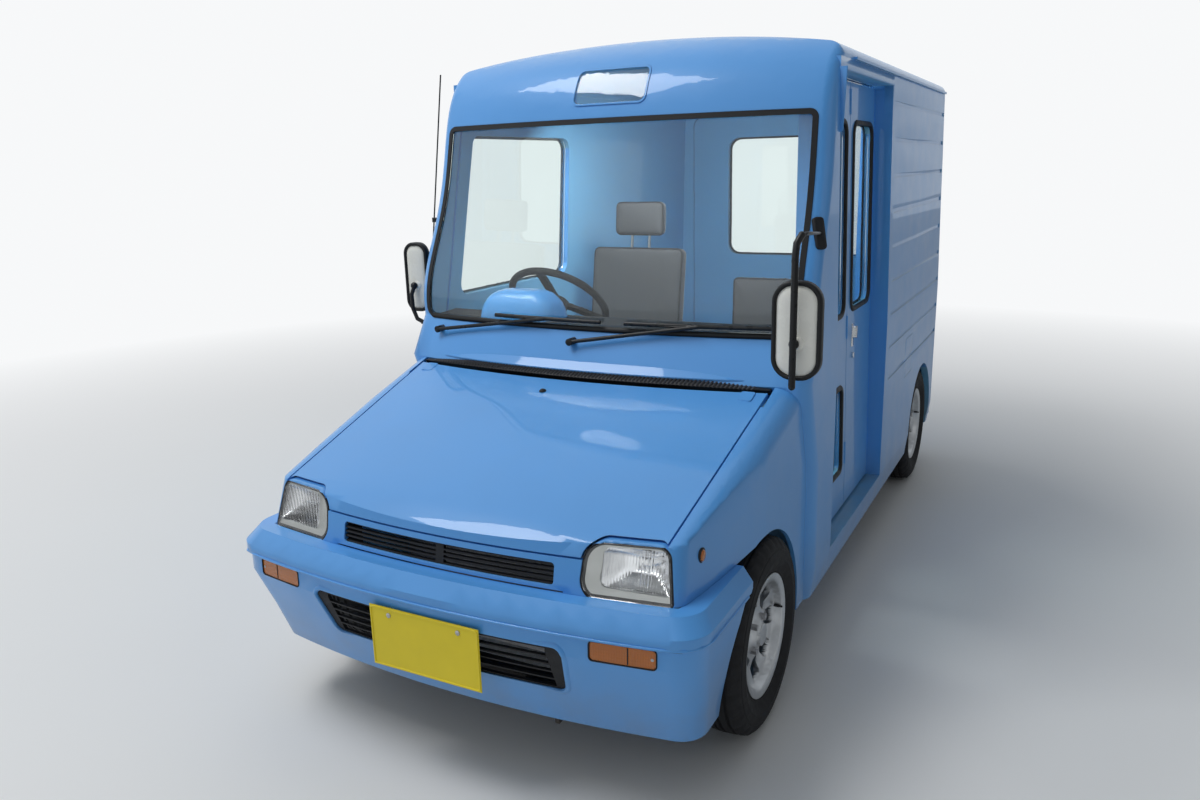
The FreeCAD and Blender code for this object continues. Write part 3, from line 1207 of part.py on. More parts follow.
def make_steering_wheel():
    """Rim, three spokes and hub, in the plane square to the column."""
    section = []
    for step in range(10):
        turn = math.radians(36 * step)
        section.append(Vector(WHEEL_RIM_R + WHEEL_GRIP_R * math.cos(turn), 0, WHEEL_GRIP_R * math.sin(turn)))
    rim = Part.Face(Part.makePolygon(section + [section[0]])).revolve(Vector(0, 0, 0), Vector(0, 0, 1), 360)
    hub = rod((0, 0, -HUB_L), (0, 0, 1), HUB_R, HUB_L + 5.0)
    spokes = [box(0.0, WHEEL_RIM_R, -14.0, 14.0, -8.0, 4.0) for _ in range(3)]
    for i, spoke in enumerate(spokes):
        spoke.rotate(Vector(0, 0, 0), Vector(0, 0, 1), 30.0 + 120.0 * i)
    wheel = fuse([rim, hub] + spokes)
    wheel.rotate(Vector(0, 0, 0), Vector(1, 0, 0), -STEERING_TILT)
    wheel.translate(Vector(*STEERING_AT))
    return solids(wheel)


def make_driver_seat():
    x0, x1 = DRIVER_SEAT_X
    y0, y1, top = DRIVER_CUSHION
    cushion = box(x0, x1, y0, y1, SEAT_Z, top)
    back = prism_x(DRIVER_BACK, x0 + 10.0, x1 - 10.0)
    rest = prism_x(HEAD_REST, *HEAD_REST_X)
    post = prism_x(REST_POST, *REST_POST_X)
    joint = box(x0 + 20.0, x1 - 20.0, DRIVER_BACK[0][0], y1 - 5.0, top - 10.0, top + 20.0)
    return solids(cushion.fuse([back, rest, post, joint]))


def make_seat_bases():
    bases = []
    for x0, x1, y0, y1 in SEAT_BASES:
        base = box(x0, x1, y0, y1, CABIN_FLOOR_Z + SEAT_GAP, SEAT_Z - SEAT_GAP)
        hollow = box(x0 + BASE_WALL, x1 - BASE_WALL, y0 - 50.0, y1 - BASE_WALL, 0, SEAT_Z - 1.5 * BASE_WALL)
        bases.append(base.cut(hollow))
    return Part.makeCompound(bases)


def make_jump_seat():
    x0, x1 = JUMP_SEAT_X
    y0, y1, top = JUMP_CUSHION
    cushion = box(x0, x1, y0, y1, SEAT_Z, top)
    return solids(cushion.fuse(prism_x(JUMP_BACK, x0 + 10.0, x1 - 10.0)))


def tube_path(points, radius):
    """A round tube along straight runs, with a ball at each bend."""
    pieces = []
    for i in range(len(points) - 1):
        a, b = Vector(*points[i]), Vector(*points[i + 1])
        pieces.append(rod(points[i], tuple(b - a), radius, (b - a).Length))
        if i:
            pieces.append(Part.makeSphere(radius, a))
    return fuse(pieces)


def make_mirror_heads():
    heads = []
    for x, y, z, half_w, half_h in (LEFT_HEAD, RIGHT_HEAD):
        outline = rectangle(x - half_w, x + half_w, z - half_h, z + half_h, half_w - 12.0)
        heads.append(prism_y(outline, y - MIRROR_T / 2, y + MIRROR_T / 2))
    return Part.makeCompound(heads)


def make_mirror_arms():
    arms = []
    for route, head in ((LEFT_ARM, LEFT_HEAD), (RIGHT_ARM, RIGHT_HEAD)):
        side = math.copysign(1.0, head[0])
        foot = route[0]
        base = prism_x(rectangle(foot[1] - 20.0, foot[1] + 20.0, foot[2] - 55.0, foot[2] + 55.0, 14.0),
                       *sorted((side * MIRROR_FOOT_X, side * (MIRROR_FOOT_X + 44.0))))
        clamp = rod((head[0], head[1] - MIRROR_T / 2 - SEAT_GAP, head[2] - 30.0), (0, -1, 0), 14.0, 26.0)
        near = fuse([base, tube_path(route[:2], 9.0)]).cut(kept(box_body, -SEAT_GAP))
        arm = fuse([near, tube_path(route[1:], 9.0), clamp, Part.makeSphere(9.0, Vector(*route[1]))])
        arms += larger(arm, 3000.0).Solids
    return Part.makeCompound(arms)


def make_wipers():
    """Two arms on their spindles with a blade each, lying along the foot of the screen."""
    pieces = []
    for pivot_x, blade_0, blade_1 in WIPERS:
        surface = front_y(pivot_x, WIPER_PIVOT_Z)
        spindle = rod((pivot_x, surface + 30.0, WIPER_PIVOT_Z), (0, -1, 0.0), 11.0, 60.0)
        spindle = spindle.cut(kept(box_body, -SEAT_GAP))
        middle = (blade_0 + blade_1) / 2
        steps = 5
        xs = [blade_0 + (blade_1 - blade_0) * i / steps for i in range(steps + 1)]
        blade = [(x, front_y(x, BLADE_Z) - 20.0, BLADE_Z) for x in xs]
        arm = [(pivot_x, surface - 24.0, WIPER_PIVOT_Z), (middle, front_y(middle, BLADE_Z) - 26.0, BLADE_Z)]
        pieces.append(fuse([spindle, tube_path(arm, 6.0), tube_path(blade, 6.5)]))
    return Part.makeCompound(pieces)


def make_antenna():
    foot, top = (-700.0, -634.0, 1094.0), (-698.0, -501.0, 1823.0)
    mast = tube_path([foot, top], 2.5)
    clips = [box(x - 4.0, x + 30.0, y - 6.0, y + 6.0, z - 8.0, z + 8.0)
             for x, y, z in ((-700.0, -632.0, 1104.0), (-699.5, -590.0, 1335.0))]
    whole = fuse([mast] + clips).cut(kept(box_body, -SEAT_GAP))
    return larger(whole, 1000.0)


NODES = {
    "front_mask": make_front_mask,
    "front_glass": make_front_glass,
    "front_seals": make_front_seals,
    "roof": make_roof,
    "side_left": make_side_left,
    "side_right": make_side_right,
    "rear_frame": make_rear_frame,
    "tailgate": make_tailgate,
    "tailgate_glass": make_tailgate_glass,
    "rear_bumper": make_rear_bumper,
    "tail_lamps": make_tail_lamps,
    "driver_door": make_driver_door,
    "driver_door_glass": make_driver_door_glass,
    "leaf_front": make_leaf_front,
    "leaf_front_glass": lambda: leaf_glass(LEAF_FRONT_WINDOWS),
    "leaf_rear": make_leaf_rear,
    "leaf_rear_glass": lambda: leaf_glass(LEAF_REAR_WINDOWS),
    "leaf_handle": make_leaf_handle,
    "bonnet": make_bonnet,
    "front_wings": make_front_wings,
    "front_panel": make_front_panel,
    "grilles": make_grilles,
    "headlamp_lenses": make_headlamp_lenses,
    "headlamp_shells": make_headlamp_shells,
    "front_bumper": make_front_bumper,
    "amber_lenses": make_amber_lenses,
    "number_plates": make_number_plates,
    "cowl_grille": make_cowl_grille,
    "bay_sides": make_bay_sides,
    "wheel_liners": make_wheel_liners,
    "strut_towers": make_strut_towers,
    "front_members": make_front_members,
    "engine_block": make_engine_block,
    "floor_pan": make_floor_pan,
    "lower_arms": make_lower_arms,
    "rear_axle": make_rear_axle,
    "exhaust": make_exhaust,
    "fuel_tank": make_fuel_tank,
    "dashboard": make_dashboard,
    "steering_column": make_steering_column,
    "steering_wheel": make_steering_wheel,
    "driver_seat": make_driver_seat,
    "jump_seat": make_jump_seat,
    "seat_bases": make_seat_bases,
    "mirror_heads": make_mirror_heads,
    "mirror_arms": make_mirror_arms,
    "wipers": make_wipers,
    "antenna": make_antenna,
    "knuckle_left": make_knuckle,
    "knuckle_right": lambda: mirrored(make_knuckle()),
}


def main():
    os.makedirs("parts", exist_ok=True)
    for name, maker in NODES.items():
        maker().exportStep("parts/" + name + ".step")
    tyre, rim = make_tyre(), make_rim()
    for end, axle_y in (("front", FRONT_AXLE_Y), ("rear", REAR_AXLE_Y)):
        for side_name, side in (("left", 1), ("right", -1)):
            wheel_place(tyre, side, axle_y).exportStep("parts/tyre_" + end + "_" + side_name + ".step")
            wheel_place(rim, side, axle_y).exportStep("parts/rim_" + end + "_" + side_name + ".step")


main()
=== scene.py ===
import json
import math

import bmesh
import bpy
from bpy.props import FloatProperty, FloatVectorProperty, IntProperty, PointerProperty
from bpy.types import NodeSocket, Operator, Panel, PropertyGroup
from mathutils import Matrix, Vector
from mathutils.bvhtree import BVHTree


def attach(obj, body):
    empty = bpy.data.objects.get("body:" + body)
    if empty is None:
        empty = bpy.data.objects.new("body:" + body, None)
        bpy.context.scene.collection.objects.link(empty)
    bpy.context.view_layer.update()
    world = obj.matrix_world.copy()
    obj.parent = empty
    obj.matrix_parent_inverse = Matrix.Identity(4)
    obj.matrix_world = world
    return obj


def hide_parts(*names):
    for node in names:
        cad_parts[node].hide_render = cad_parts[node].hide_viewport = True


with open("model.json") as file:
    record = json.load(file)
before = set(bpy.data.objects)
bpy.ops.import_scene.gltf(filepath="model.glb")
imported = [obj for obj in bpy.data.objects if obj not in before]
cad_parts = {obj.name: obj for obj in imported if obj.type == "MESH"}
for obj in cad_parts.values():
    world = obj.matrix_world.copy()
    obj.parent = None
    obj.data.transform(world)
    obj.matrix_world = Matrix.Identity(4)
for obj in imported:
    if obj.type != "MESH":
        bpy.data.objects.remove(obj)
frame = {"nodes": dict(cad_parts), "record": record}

bl_info = {
    "name": "Walk-through delivery van",
    "version": (1, 0, 0),
    "blender": (4, 5, 0),
    "location": "View3D > Sidebar > Van",
    "description": "Dresses the delivery van's frame with finished pieces, materials and a stage",
    "category": "Add Mesh",
}

BODY_OF = {node: body for body, nodes in frame["record"]["behaviour"]["bodies"].items() for node in nodes}
SLOT_OF = {row["node"]: row["material_slot"] for row in frame["record"]["subparts"]}
VAN = "van_body"

# Panels: those with a painted inside, those without; a place that all the inner faces look towards
ROUND_CABIN = ["front_mask", "roof", "side_left", "side_right", "rear_frame", "tailgate", "driver_door",
               "leaf_front", "leaf_rear"]
OUTSIDE = ["bonnet", "front_wings", "front_panel", "front_bumper", "rear_bumper"]
GLASSES = ["front_glass", "tailgate_glass", "driver_door_glass", "leaf_front_glass", "leaf_rear_glass"]
UNDERSIDE = ["bay_sides", "wheel_liners", "strut_towers", "engine_block", "lower_arms", "knuckle_left",
             "knuckle_right", "rear_axle", "exhaust", "fuel_tank"]
CABIN_MID = Vector((0.0, 0.4, 1.1))
# Points of a node, and of a turned shape, that are closer than this are one
WELD, AXIS_WELD = 1e-5, 1e-6
# Rays start this far off
FAR = 2.0

# Folding door: where its outer face stands at the foot and the head, how it leans, its thickness
LEAF_FOOT_X, LEAF_FOOT_Z = 0.6475, 0.305
LEAF_HEAD_X, LEAF_HEAD_Z = 0.6150, 1.745
LEAF_LEAN = math.atan2(LEAF_FOOT_X - LEAF_HEAD_X, LEAF_HEAD_Z - LEAF_FOOT_Z)
LEAF_T = 0.030
# Windows of its leaves: y from, y to, height from, height to, corner radius
LEAF_WINDOWS = {
    "leaf_front": [(-0.408, -0.118, 0.690, 1.318, 0.045), (-0.398, -0.128, 0.140, 0.445, 0.030)],
    "leaf_rear": [(-0.024, 0.264, 0.690, 1.318, 0.045)],
}
# Driver's window: y, z, corner radius
DRIVER_WINDOW = [(-0.520, 1.060, 0.040), (0.262, 1.060, 0.050), (0.300, 1.620, 0.050), (-0.398, 1.620, 0.040)]
# Tailgate window: x, z, corner radius; and the y of its skin
TAIL_WINDOW = [(-0.400, 1.022, 0.060), (0.400, 1.022, 0.060), (0.400, 1.632, 0.060), (-0.400, 1.632, 0.060)]
TAIL_Y = 1.612
# Outer skin of the straight body: height, half width
SIDE_PROFILE = [(0.892, 0.6975), (1.020, 0.6945), (1.340, 0.6865), (1.643, 0.679), (1.760, 0.676)]
# Above this height is the header window's surround
HEADER_Z = 1.660

# Cowl strip: half length of its row of louvres, and its front edge, swept back by x squared
COWL_HALF = 0.555
COWL_Y, COWL_Z, COWL_SWEEP = -0.8764, 0.885, 0.168
# Where its ends start to thin out and end; its height in the middle and at the ends, as shares of the solid's
COWL_TAPER = (0.30, 0.598, 0.62, 0.10)
# Bend of a louvre: start, middle, end
LOUVRE = [(-0.004, -0.0022, 0.004), (0.0, -0.0030, 0.0300), (0.004, 0.0240, 0.0282)]
# Painted ledge behind the strip: half length, foot, height, how proud, steps
LEDGE = (0.52, 0.903, 0.026, 0.007, 48)
# Cover of a hinge pocket: x from, x to, y from, y to, corner radius; then how far in its edge is and how proud
# it stands, ring by ring (so too for all that end in RISE)
HINGE_COVER = (0.526, 0.566, -0.886, -0.842, 0.006)
HINGE_COVER_RISE = [(0.0, -0.0025), (0.0, 0.0006)]
# The bonnet's slope is measured this far inwards of the cover, from this far ahead of it
HINGE_SLOPE = (0.011, 0.04)
# Washer jet on the bonnet: x, y, and its outline
WASHER_JET = (-0.050, -0.965)
JET_OUTLINE = [(0.0, 0.011), (0.003, 0.0105), (0.006, 0.008), (0.008, 0.004), (0.009, 0.0), (0.0, 0.0)]

# Bumper: where the rays that find its skin meet; its bead, and a thin black line under the bead that is a painted
# shadow of its crease (height, radius)
BUMPER_MID_Y = -1.20
BUMPER_BEAD = (0.4862, 0.0036)
BUMPER_SHADOW_LINE = (0.4797, 0.0019)
# Its opening: x, z, corner radius; and the section of the lip round it (outwards, proud)
LOWER_GRILLE = [(-0.354, 0.307, 0.022), (0.354, 0.307, 0.022), (0.375, 0.444, 0.022), (-0.375, 0.444, 0.022)]
GRILLE_LIP = [(0.0015, -0.003), (0.0015, 0.0015), (0.0035, 0.0040), (0.0070, 0.0046), (0.0110, 0.0030),
              (0.0150, -0.0006), (0.0060, -0.004)]

# Inner edge of a headlamp's bezel: x, z, corner radius; and the lamp's outline, set in by 1 mm
BEZEL_HOLE = [(0.428, 0.571, 0.018), (0.597, 0.565, 0.012), (0.581, 0.664, 0.022), (0.432, 0.662, 0.022)]
BEZEL_EDGE = [(0.385, 0.551, 0.040), (0.6025, 0.551, 0.012), (0.583, 0.673, 0.029), (0.395, 0.672, 0.051)]
# Depths of the bezel's four edges behind the glass, and the glass's thickness
BEZEL_DEPTHS = (0.0015, 0.004, 0.013, 0.009)
LENS_T = 0.005
# Depth of the reflector at its rim and from there on, its thickness, the shares of the rim that it runs
# through, and how far in its bulb stands
BOWL_RIM, BOWL_DEPTH, BOWL_T = 0.010, 0.048, 0.003
BOWL_SHARES = (1.0, 0.9, 0.78, 0.64, 0.48, 0.3, 0.12)
BULB_DEPTH = 0.056
BULB_OUTLINE = [(0.0, 0.0), (0.0, 0.010), (0.012, 0.010), (0.014, 0.006), (0.034, 0.006), (0.039, 0.003),
                (0.040, 0.0)]
# Turn lamp: x from, x to, height from, height to, corner radius; and the section of its rim
TURN_LAMP = (0.441, 0.596, 0.431, 0.477, 0.009)
TURN_RIM = [(-0.0012, -0.003), (-0.0012, 0.0014), (0.0004, 0.0022), (0.0022, 0.0014), (0.0026, -0.002)]
# Its inner wall and its screw: name, x, half width, half height, corner radius, finish
TURN_PARTS = [("turn_wall_", 0.531, 0.0012, 0.020, 0.0010, "black_plastic"),
              ("turn_screw_", 0.587, 0.0036, 0.0036, 0.0035, "steel")]
TURN_RISE = [(0.0, -0.001), (0.0, 0.0010)]
# Round side marker: y, z; the outlines of its rim and dome, and how far the solid one is left to show
MARKER = (-1.400, 0.632)
MARKER_RIM = [(-0.004, 0.015), (-0.004, 0.019), (0.0025, 0.0185), (0.004, 0.0165), (0.004, 0.015)]
MARKER_DOME = [(0.0, 0.0), (0.0, 0.0148), (0.004, 0.0144), (0.0065, 0.0123), (0.0080, 0.0075), (0.0086, 0.0)]
MARKER_SHOWN = 0.002
# Above this height the tail lamps are amber
TAIL_AMBER_Z = 0.78

# Number plates: half sizes; end, y and height of the middle, and which way each looks; their bolts
PLATE_HALF = (0.165, 0.0825)
PLATES = [("front", -1.645, 0.375, -1.0), ("rear", 1.6373, 0.345, 1.0)]
BOLTS_X, BOLTS_UP = (-0.105, 0.105), 0.062
BOLT_OUTLINE = [(0.0, 0.0), (0.0, 0.007), (0.002, 0.0065), (0.0035, 0.004), (0.004, 0.0)]

# Mirrors: head centre, half width, half height; the width of their rims and half their thickness
MIRRORS = {"left": ((0.750, -1.100, 1.110), 0.061, 0.120), "right": ((-0.761, -0.624, 1.137), 0.050, 0.122)}
MIRROR_RIM, MIRROR_HALF_T = 0.0115, 0.013
BOSS_OUTLINE = [(0.0, 0.0), (0.0, 0.016), (0.003, 0.0155), (0.0055, 0.012), (0.007, 0.006), (0.0072, 0.0)]
SCREW_OUTLINE = [(0.0, 0.0), (0.0, 0.0032), (0.0012, 0.0028), (0.0014, 0.0)]
# Boss and screw on a head's back: name, outline, steps, finish, how far out of it; and where, across and up
KNOBS = [("mirror_boss_", BOSS_OUTLINE, 32, "mirror_shell", -0.0005),
         ("mirror_screw_", SCREW_OUTLINE, 16, "black_tube", 0.0065)]
KNOB_AT = (0.006, -0.028)
# Back and glass of a head, from its rim's inner edge and its half thickness
SHELL_RISE = [(0.0, -0.019), (0.0, -0.006), (0.004, -0.003), (0.010, -0.001), (0.018, 0.0), (0.026, 0.0005)]
GLASS_RISE = [(0.0, -0.0195), (0.0, -0.022)]
# Feet of the mirror arms: a place near the corner post, and the way from it to the post's skin
ARM_FEET = {"left": ((0.760, -0.690, 1.310), (-0.80, 0.57, -0.06)),
            "right": ((-0.800, -0.655, 0.985), (1, 0, 0))}
# Half sizes and corner radius of a foot
FOOT = (0.0165, 0.046, 0.010)
FOOT_RISE = [(0.0, -0.004), (0.0, 0.006), (0.0012, 0.0085), (0.004, 0.0095), (0.006, 0.0075)]
# Mirror arms after their feet: x, y, z, then the radius of the tube
ARM_RODS = {
    "left": ([(0.762, -1.090, 1.338), (0.753, -1.116, 1.328)], 0.005),
    "right": ([(-0.730, -0.661, 0.982)], 0.007),
}
ARM_TUBES = {
    "left": ([(0.757, -1.108, 1.336), (0.751, -1.126, 1.318), (0.750, -1.132, 1.290), (0.750, -1.134, 0.980)],
             0.0085),
    "right": ([(-0.722, -0.660, 0.982), (-0.746, -0.664, 0.994), (-0.762, -0.664, 1.030),
               (-0.766, -0.661, 1.078), (-0.760, -0.652, 1.107)], 0.0075),
}
# The clamp on a head's back: its place from the head's centre, and its radius
CLAMP, CLAMP_R = (0.0, -0.026, -0.028), 0.0125

# Handles of the driver's door and the tailgate: body, centre across and up, half width, half height
HANDLES = {"driver_handle": ("driver_door", 0.235, 0.985, 0.062, 0.017),
           "tailgate_handle": ("tailgate", 0.0, 0.640, 0.070, 0.019)}
HANDLE_RISE = [(0.0, -0.003), (0.0, 0.003), (0.003, 0.005), (0.007, 0.0052), (0.010, 0.002), (0.011, 0.0016)]
PULL_RISE = [(0.0, 0.0012), (0.0, 0.0068)]
# The pull in a handle, in shares of the handle's half sizes: half width, how far down and up, corner radius
PULL = (0.72, 0.34, 0.36, 0.3)
# Rain strip at the doorway's top front corner: y, foot, top, how far out at the foot and top, thickness
RAIN_STRIP = (-0.464, 1.580, 1.760, 0.009, 0.020, 0.005)

# Wheels
TYRE_R = 0.268
BEAD_R = 0.1527
WHEEL_X = 0.6155
SIDES = {"left": 1.0, "right": -1.0}
WHEELS = {"%s_%s" % (end, side): (sign, axle_y) for end, axle_y in (("front", -1.0485), ("rear", 1.2315))
          for side, sign in SIDES.items()}
# One side of a tyre, then half its shoulder and tread with no grooves cut: x, radius
SIDEWALL = [(-0.046, BEAD_R), (-0.0558, BEAD_R), (-0.0564, 0.169), (-0.0605, 0.174), (-0.0612, 0.180),
            (-0.0700, 0.196), (-0.0718, 0.206), (-0.0725, 0.208), (-0.0718, 0.210), (-0.0722, 0.222),
            (-0.0710, 0.232), (-0.0690, 0.234), (-0.0688, 0.240), (-0.0650, 0.2485)]
TREAD = [(-0.0600, 0.2555), (-0.0520, 0.2635), (-0.0400, 0.2655), (-0.0370, 0.2655), (-0.0330, 0.2660),
         (-0.0300, 0.2665), (-0.0130, 0.2676), (-0.0105, 0.2678), (-0.0065, 0.2678), (-0.0040, 0.2680)]
GROOVED = (3, 4, 7, 8)
TYRE_INSIDE = [(0.042, 0.158), (-0.042, 0.158)]
TYRE_STEPS = 216
# Notches of the shoulder: half widths and least radius of the points cut, depth, and the steps cut of six
NOTCHED_X, NOTCHED_R, NOTCH_DEPTH, NOTCH_STEPS = (0.0650, 0.0600, 0.0520), 0.24, 0.004, (0, 1)
# Wheel nuts: radius, length, how far out; and the valve's outline and place
NUT_R, NUT_L, NUT_OUT = 0.0095, 0.018, 0.036
VALVE_OUTLINE = [(0.0, 0.0), (0.0, 0.004), (0.016, 0.004), (0.018, 0.0028), (0.026, 0.0028), (0.026, 0.0)]
VALVE = (0.034, 0.140, 0.02)

# Cushions: name, node, half sizes, corner radius, centre, tilt in degrees, seams across at
CUSHIONS = [
    ("driver_cushion", "driver_seat", (0.215, 0.215, 0.048), 0.022, (-0.335, 0.030, 0.626), 3.0, (-0.11, 0.11)),
    ("driver_back", "driver_seat", (0.205, 0.235, 0.036), 0.022, (-0.335, 0.293, 0.932), 81.0, (-0.11, 0.11)),
    ("driver_head_rest", "driver_seat", (0.110, 0.070, 0.026), 0.020, (-0.335, 0.342, 1.285), 86.0, ()),
    ("jump_cushion", "jump_seat", (0.182, 0.157, 0.034), 0.018, (0.230, 0.234, 0.611), 0.0, ()),
    ("jump_back", "jump_seat", (0.172, 0.195, 0.022), 0.016, (0.230, 0.394, 0.850), 87.0, ()),
]
# Size of the cloth's cells, half width of a seam, pressure in the cushion, frames of the filling
CELL, SEAM_HALF, PRESSURE, FRAMES = 0.010, 0.0065, 4.0, 16
# In shares of the corner radius: the cushion's border that is held, how far down its piping runs; and how far in
HELD_SHARE, PIPING_DOWN, PIPING_IN = 0.6, 0.45, 0.004
# Head rest posts: their x, their other places (y, z), and their radius
POSTS_X = {"head_rest_post_a": -0.375, "head_rest_post_b": -0.295}
POST_BENDS, POST_R = [(0.330, 1.16), (0.338, 1.22), (0.340, 1.24)], 0.006

# Painted hood over the instruments: centre x, y, half width, half depth, corner; then inset and height
HOOD = (-0.3165, -0.632, 0.150, 0.082, 0.060)
HOOD_RISE = [(0.0, 0.992), (0.002, 1.018), (0.007, 1.042), (0.016, 1.064), (0.029, 1.082), (0.045, 1.096),
             (0.063, 1.105), (0.083, 1.110), (0.096, 1.111)]
# Under it the dash is sunk: x from, x to, y from, height
HOOD_SUNK = (-0.46, -0.17, -0.71, 1.020)

# Stage: the pale ground, and how far out the floor starts and ends turning into it
PALE = (0.93, 0.94, 0.95, 1.0)
FLOOR_FADE = (1.8, 7.0)
FLOOR_HALF = 30.0
# Colour and strength of the light from all round (on matt surfaces, in mirroring ones), and its share on the
# kerb side
AROUND_COLOUR = (0.88, 0.94, 1.0, 1.0)
AROUND = (0.52, 1.0)
KERB_SHADE = 0.28
# Lamps: place, target, size
KEY_LAMP = ((-2.4, -2.5, 6.2), (0.0, -0.4, 0.7), (3.2, 2.0))
FILL_LAMP = ((4.4, -1.0, 2.6), (0.0, -0.2, 0.9), (2.6, 2.0))
CABIN_LAMP = ((0.0, 0.0, 1.66), (0.0, 0.5, 0.9), (0.8, 0.3))
SENSOR = 36.0

COLOUR = {"subtype": "COLOR", "size": 3, "min": 0, "max": 1}


class VanColours(PropertyGroup):
    """Colours that a user would change."""

    body: FloatVectorProperty(name="Body paint", description="Paint of every outside panel",
                              default=(0.100, 0.360, 0.80), **COLOUR)
    cabin: FloatVectorProperty(name="Cabin paint", description="Paint inside the body",
                               default=(0.20, 0.52, 0.82), **COLOUR)
    rubber: FloatVectorProperty(name="Rubber", description="Window rubbers and tyres",
                                default=(0.012, 0.012, 0.013), **COLOUR)
    plastic: FloatVectorProperty(name="Black plastic", description="Grilles, cowl strip and dash",
                                 default=(0.018, 0.018, 0.020), **COLOUR)
    mirror_back: FloatVectorProperty(name="Mirror back", description="Shell of the mirrors",
                                     default=(0.90, 0.885, 0.81), **COLOUR)
    plate: FloatVectorProperty(name="Number plate", description="Ground of the blank plates",
                               default=(0.85, 0.68, 0.035), **COLOUR)
    amber: FloatVectorProperty(name="Amber lens", description="Turn lamps and side markers",
                               default=(0.72, 0.20, 0.008), **COLOUR)
    red: FloatVectorProperty(name="Red lens", description="Tail lamps", default=(0.50, 0.015, 0.01), **COLOUR)
    seat: FloatVectorProperty(name="Seat cloth", description="Cover of the seats",
                              default=(0.055, 0.058, 0.064), **COLOUR)
    alloy: FloatVectorProperty(name="Wheel", description="Cast wheels", default=(0.60, 0.61, 0.62), **COLOUR)


class VanSizes(PropertyGroup):
    """Sizes of the small pieces."""

    rubber_width: FloatProperty(name="Rubber width", description="Width of the rubber round a side window",
                                default=0.018, min=0.010, max=0.025, unit="LENGTH")
    rubber_height: FloatProperty(name="Rubber height", description="How far that rubber stands out of the skin",
                                 default=0.0065, min=0.002, max=0.012, unit="LENGTH")
    louvre_pitch: FloatProperty(name="Louvre pitch", description="Distance between the cowl strip's louvres",
                                default=0.0120, min=0.006, max=0.03, unit="LENGTH")
    louvre_width: FloatProperty(name="Louvre width", description="Width of each louvre",
                                default=0.0048, min=0.001, max=0.01, unit="LENGTH")
    tread_depth: FloatProperty(name="Tread depth", description="Depth of the tyres' grooves",
                               default=0.006, min=0.001, max=0.009, unit="LENGTH")
    nut_count: IntProperty(name="Wheel nuts", description="Number of nuts on each wheel", default=4, min=3, max=6)
    nut_circle: FloatProperty(name="Nut circle", description="Radius of the circle the wheel nuts stand on",
                              default=0.050, min=0.04, max=0.06, unit="LENGTH")
    plate_border: FloatProperty(name="Plate border", description="Width of the plates' raised border",
                                default=0.004, min=0.002, max=0.01, unit="LENGTH")
    piping_radius: FloatProperty(name="Seat piping", description="Radius of the piping round the cushions",
                                 default=0.0035, min=0.002, max=0.006, unit="LENGTH")
    seat_swell: FloatProperty(name="Seat swell", description="The most that a cushion swells when it is filled",
                              default=0.022, min=0.0, max=0.04, unit="LENGTH")


class VanStage(PropertyGroup):
    """Camera, floor and lights."""

    eye: FloatVectorProperty(name="Camera place", description="Where the camera stands", size=3,
                             default=(1.350, -3.232, 1.4996), unit="LENGTH")
    azimuth: FloatProperty(name="Camera azimuth", description="Turn of the view from straight at the front",
                           default=math.radians(28.06), unit="ROTATION")
    drop: FloatProperty(name="Camera drop", description="How far the view points down",
                        default=math.radians(14.18), unit="ROTATION")
    roll: FloatProperty(name="Camera roll", description="Roll of the camera about its view",
                        default=math.radians(-1.502), unit="ROTATION")
    lens: FloatProperty(name="Lens", description="Focal length on a 36 mm wide sensor, in mm", default=27.638)
    floor_colour: FloatVectorProperty(name="Floor", description="Colour of the floor",
                                      default=(0.86, 0.86, 0.85), **COLOUR)
    key_power: FloatProperty(name="Key light", description="Power of the large lamp above the front, in W",
                             default=165.0, min=0)
    fill_power: FloatProperty(name="Fill light", description="Power of the lamp on the kerb side, in W",
                              default=6.0, min=0)
    cabin_power: FloatProperty(name="Cabin light", description="Power of the unseen lamp under the roof, in W",
                               default=11.0, min=0)


def colours():
    return bpy.context.scene.van_colours


def sizes():
    return bpy.context.scene.van_sizes


# Materials

def fill_inputs(tree, node, inputs):
    """Give each input a value, or a link from another node's socket."""
    for key, value in inputs.items():
        if isinstance(value, NodeSocket):
            tree.links.new(value, node.inputs[key])
        else:
            node.inputs[key].default_value = value


def new_node(tree, kind, inputs=None, **settings):
    node = tree.nodes.new(kind)
    for key, value in settings.items():
        setattr(node, key, value)
    fill_inputs(tree, node, inputs or {})
    return node


def coordinates(tree):
    return tree.nodes.new("ShaderNodeTexCoord").outputs["Object"]


def axis(tree, name, vector=None):
    """One coordinate of a vector, or else of the place on the object."""
    vector = coordinates(tree) if vector is None else vector
    return new_node(tree, "ShaderNodeSeparateXYZ", {"Vector": vector}).outputs[name]


def noise(tree, scale, detail=3.0):
    return new_node(tree, "ShaderNodeTexNoise", {"Vector": coordinates(tree), "Scale": scale, "Detail": detail,
                                                 "Roughness": 0.55}).outputs["Fac"]


def wave(tree, scale, direction):
    return new_node(tree, "ShaderNodeTexWave", {"Vector": coordinates(tree), "Scale": scale, "Distortion": 0.0},
                    bands_direction=direction, wave_profile="SIN").outputs["Fac"]


def ranged(tree, value, low, high, to_low, to_high):
    return new_node(tree, "ShaderNodeMapRange", {"Value": value, "From Min": low, "From Max": high,
                                                 "To Min": to_low, "To Max": to_high}).outputs["Result"]


def calculated(tree, operation, first, second=0.0):
    return new_node(tree, "ShaderNodeMath", {0: first, 1: second}, operation=operation).outputs["Value"]


def multiplied(tree, first, second):
    return calculated(tree, "MULTIPLY", first, second)


def blended(tree, factor, first, second):
    """A colour between two, each a colour or a socket."""
    first, second = (value if isinstance(value, NodeSocket) else (*value[:3], 1.0) for value in (first, second))
    return new_node(tree, "ShaderNodeMix", {"Factor": factor, 6: first, 7: second}, data_type="RGBA").outputs[2]


def scaled(colour, by):
    return tuple(min(c * by, 1.0) for c in colour)


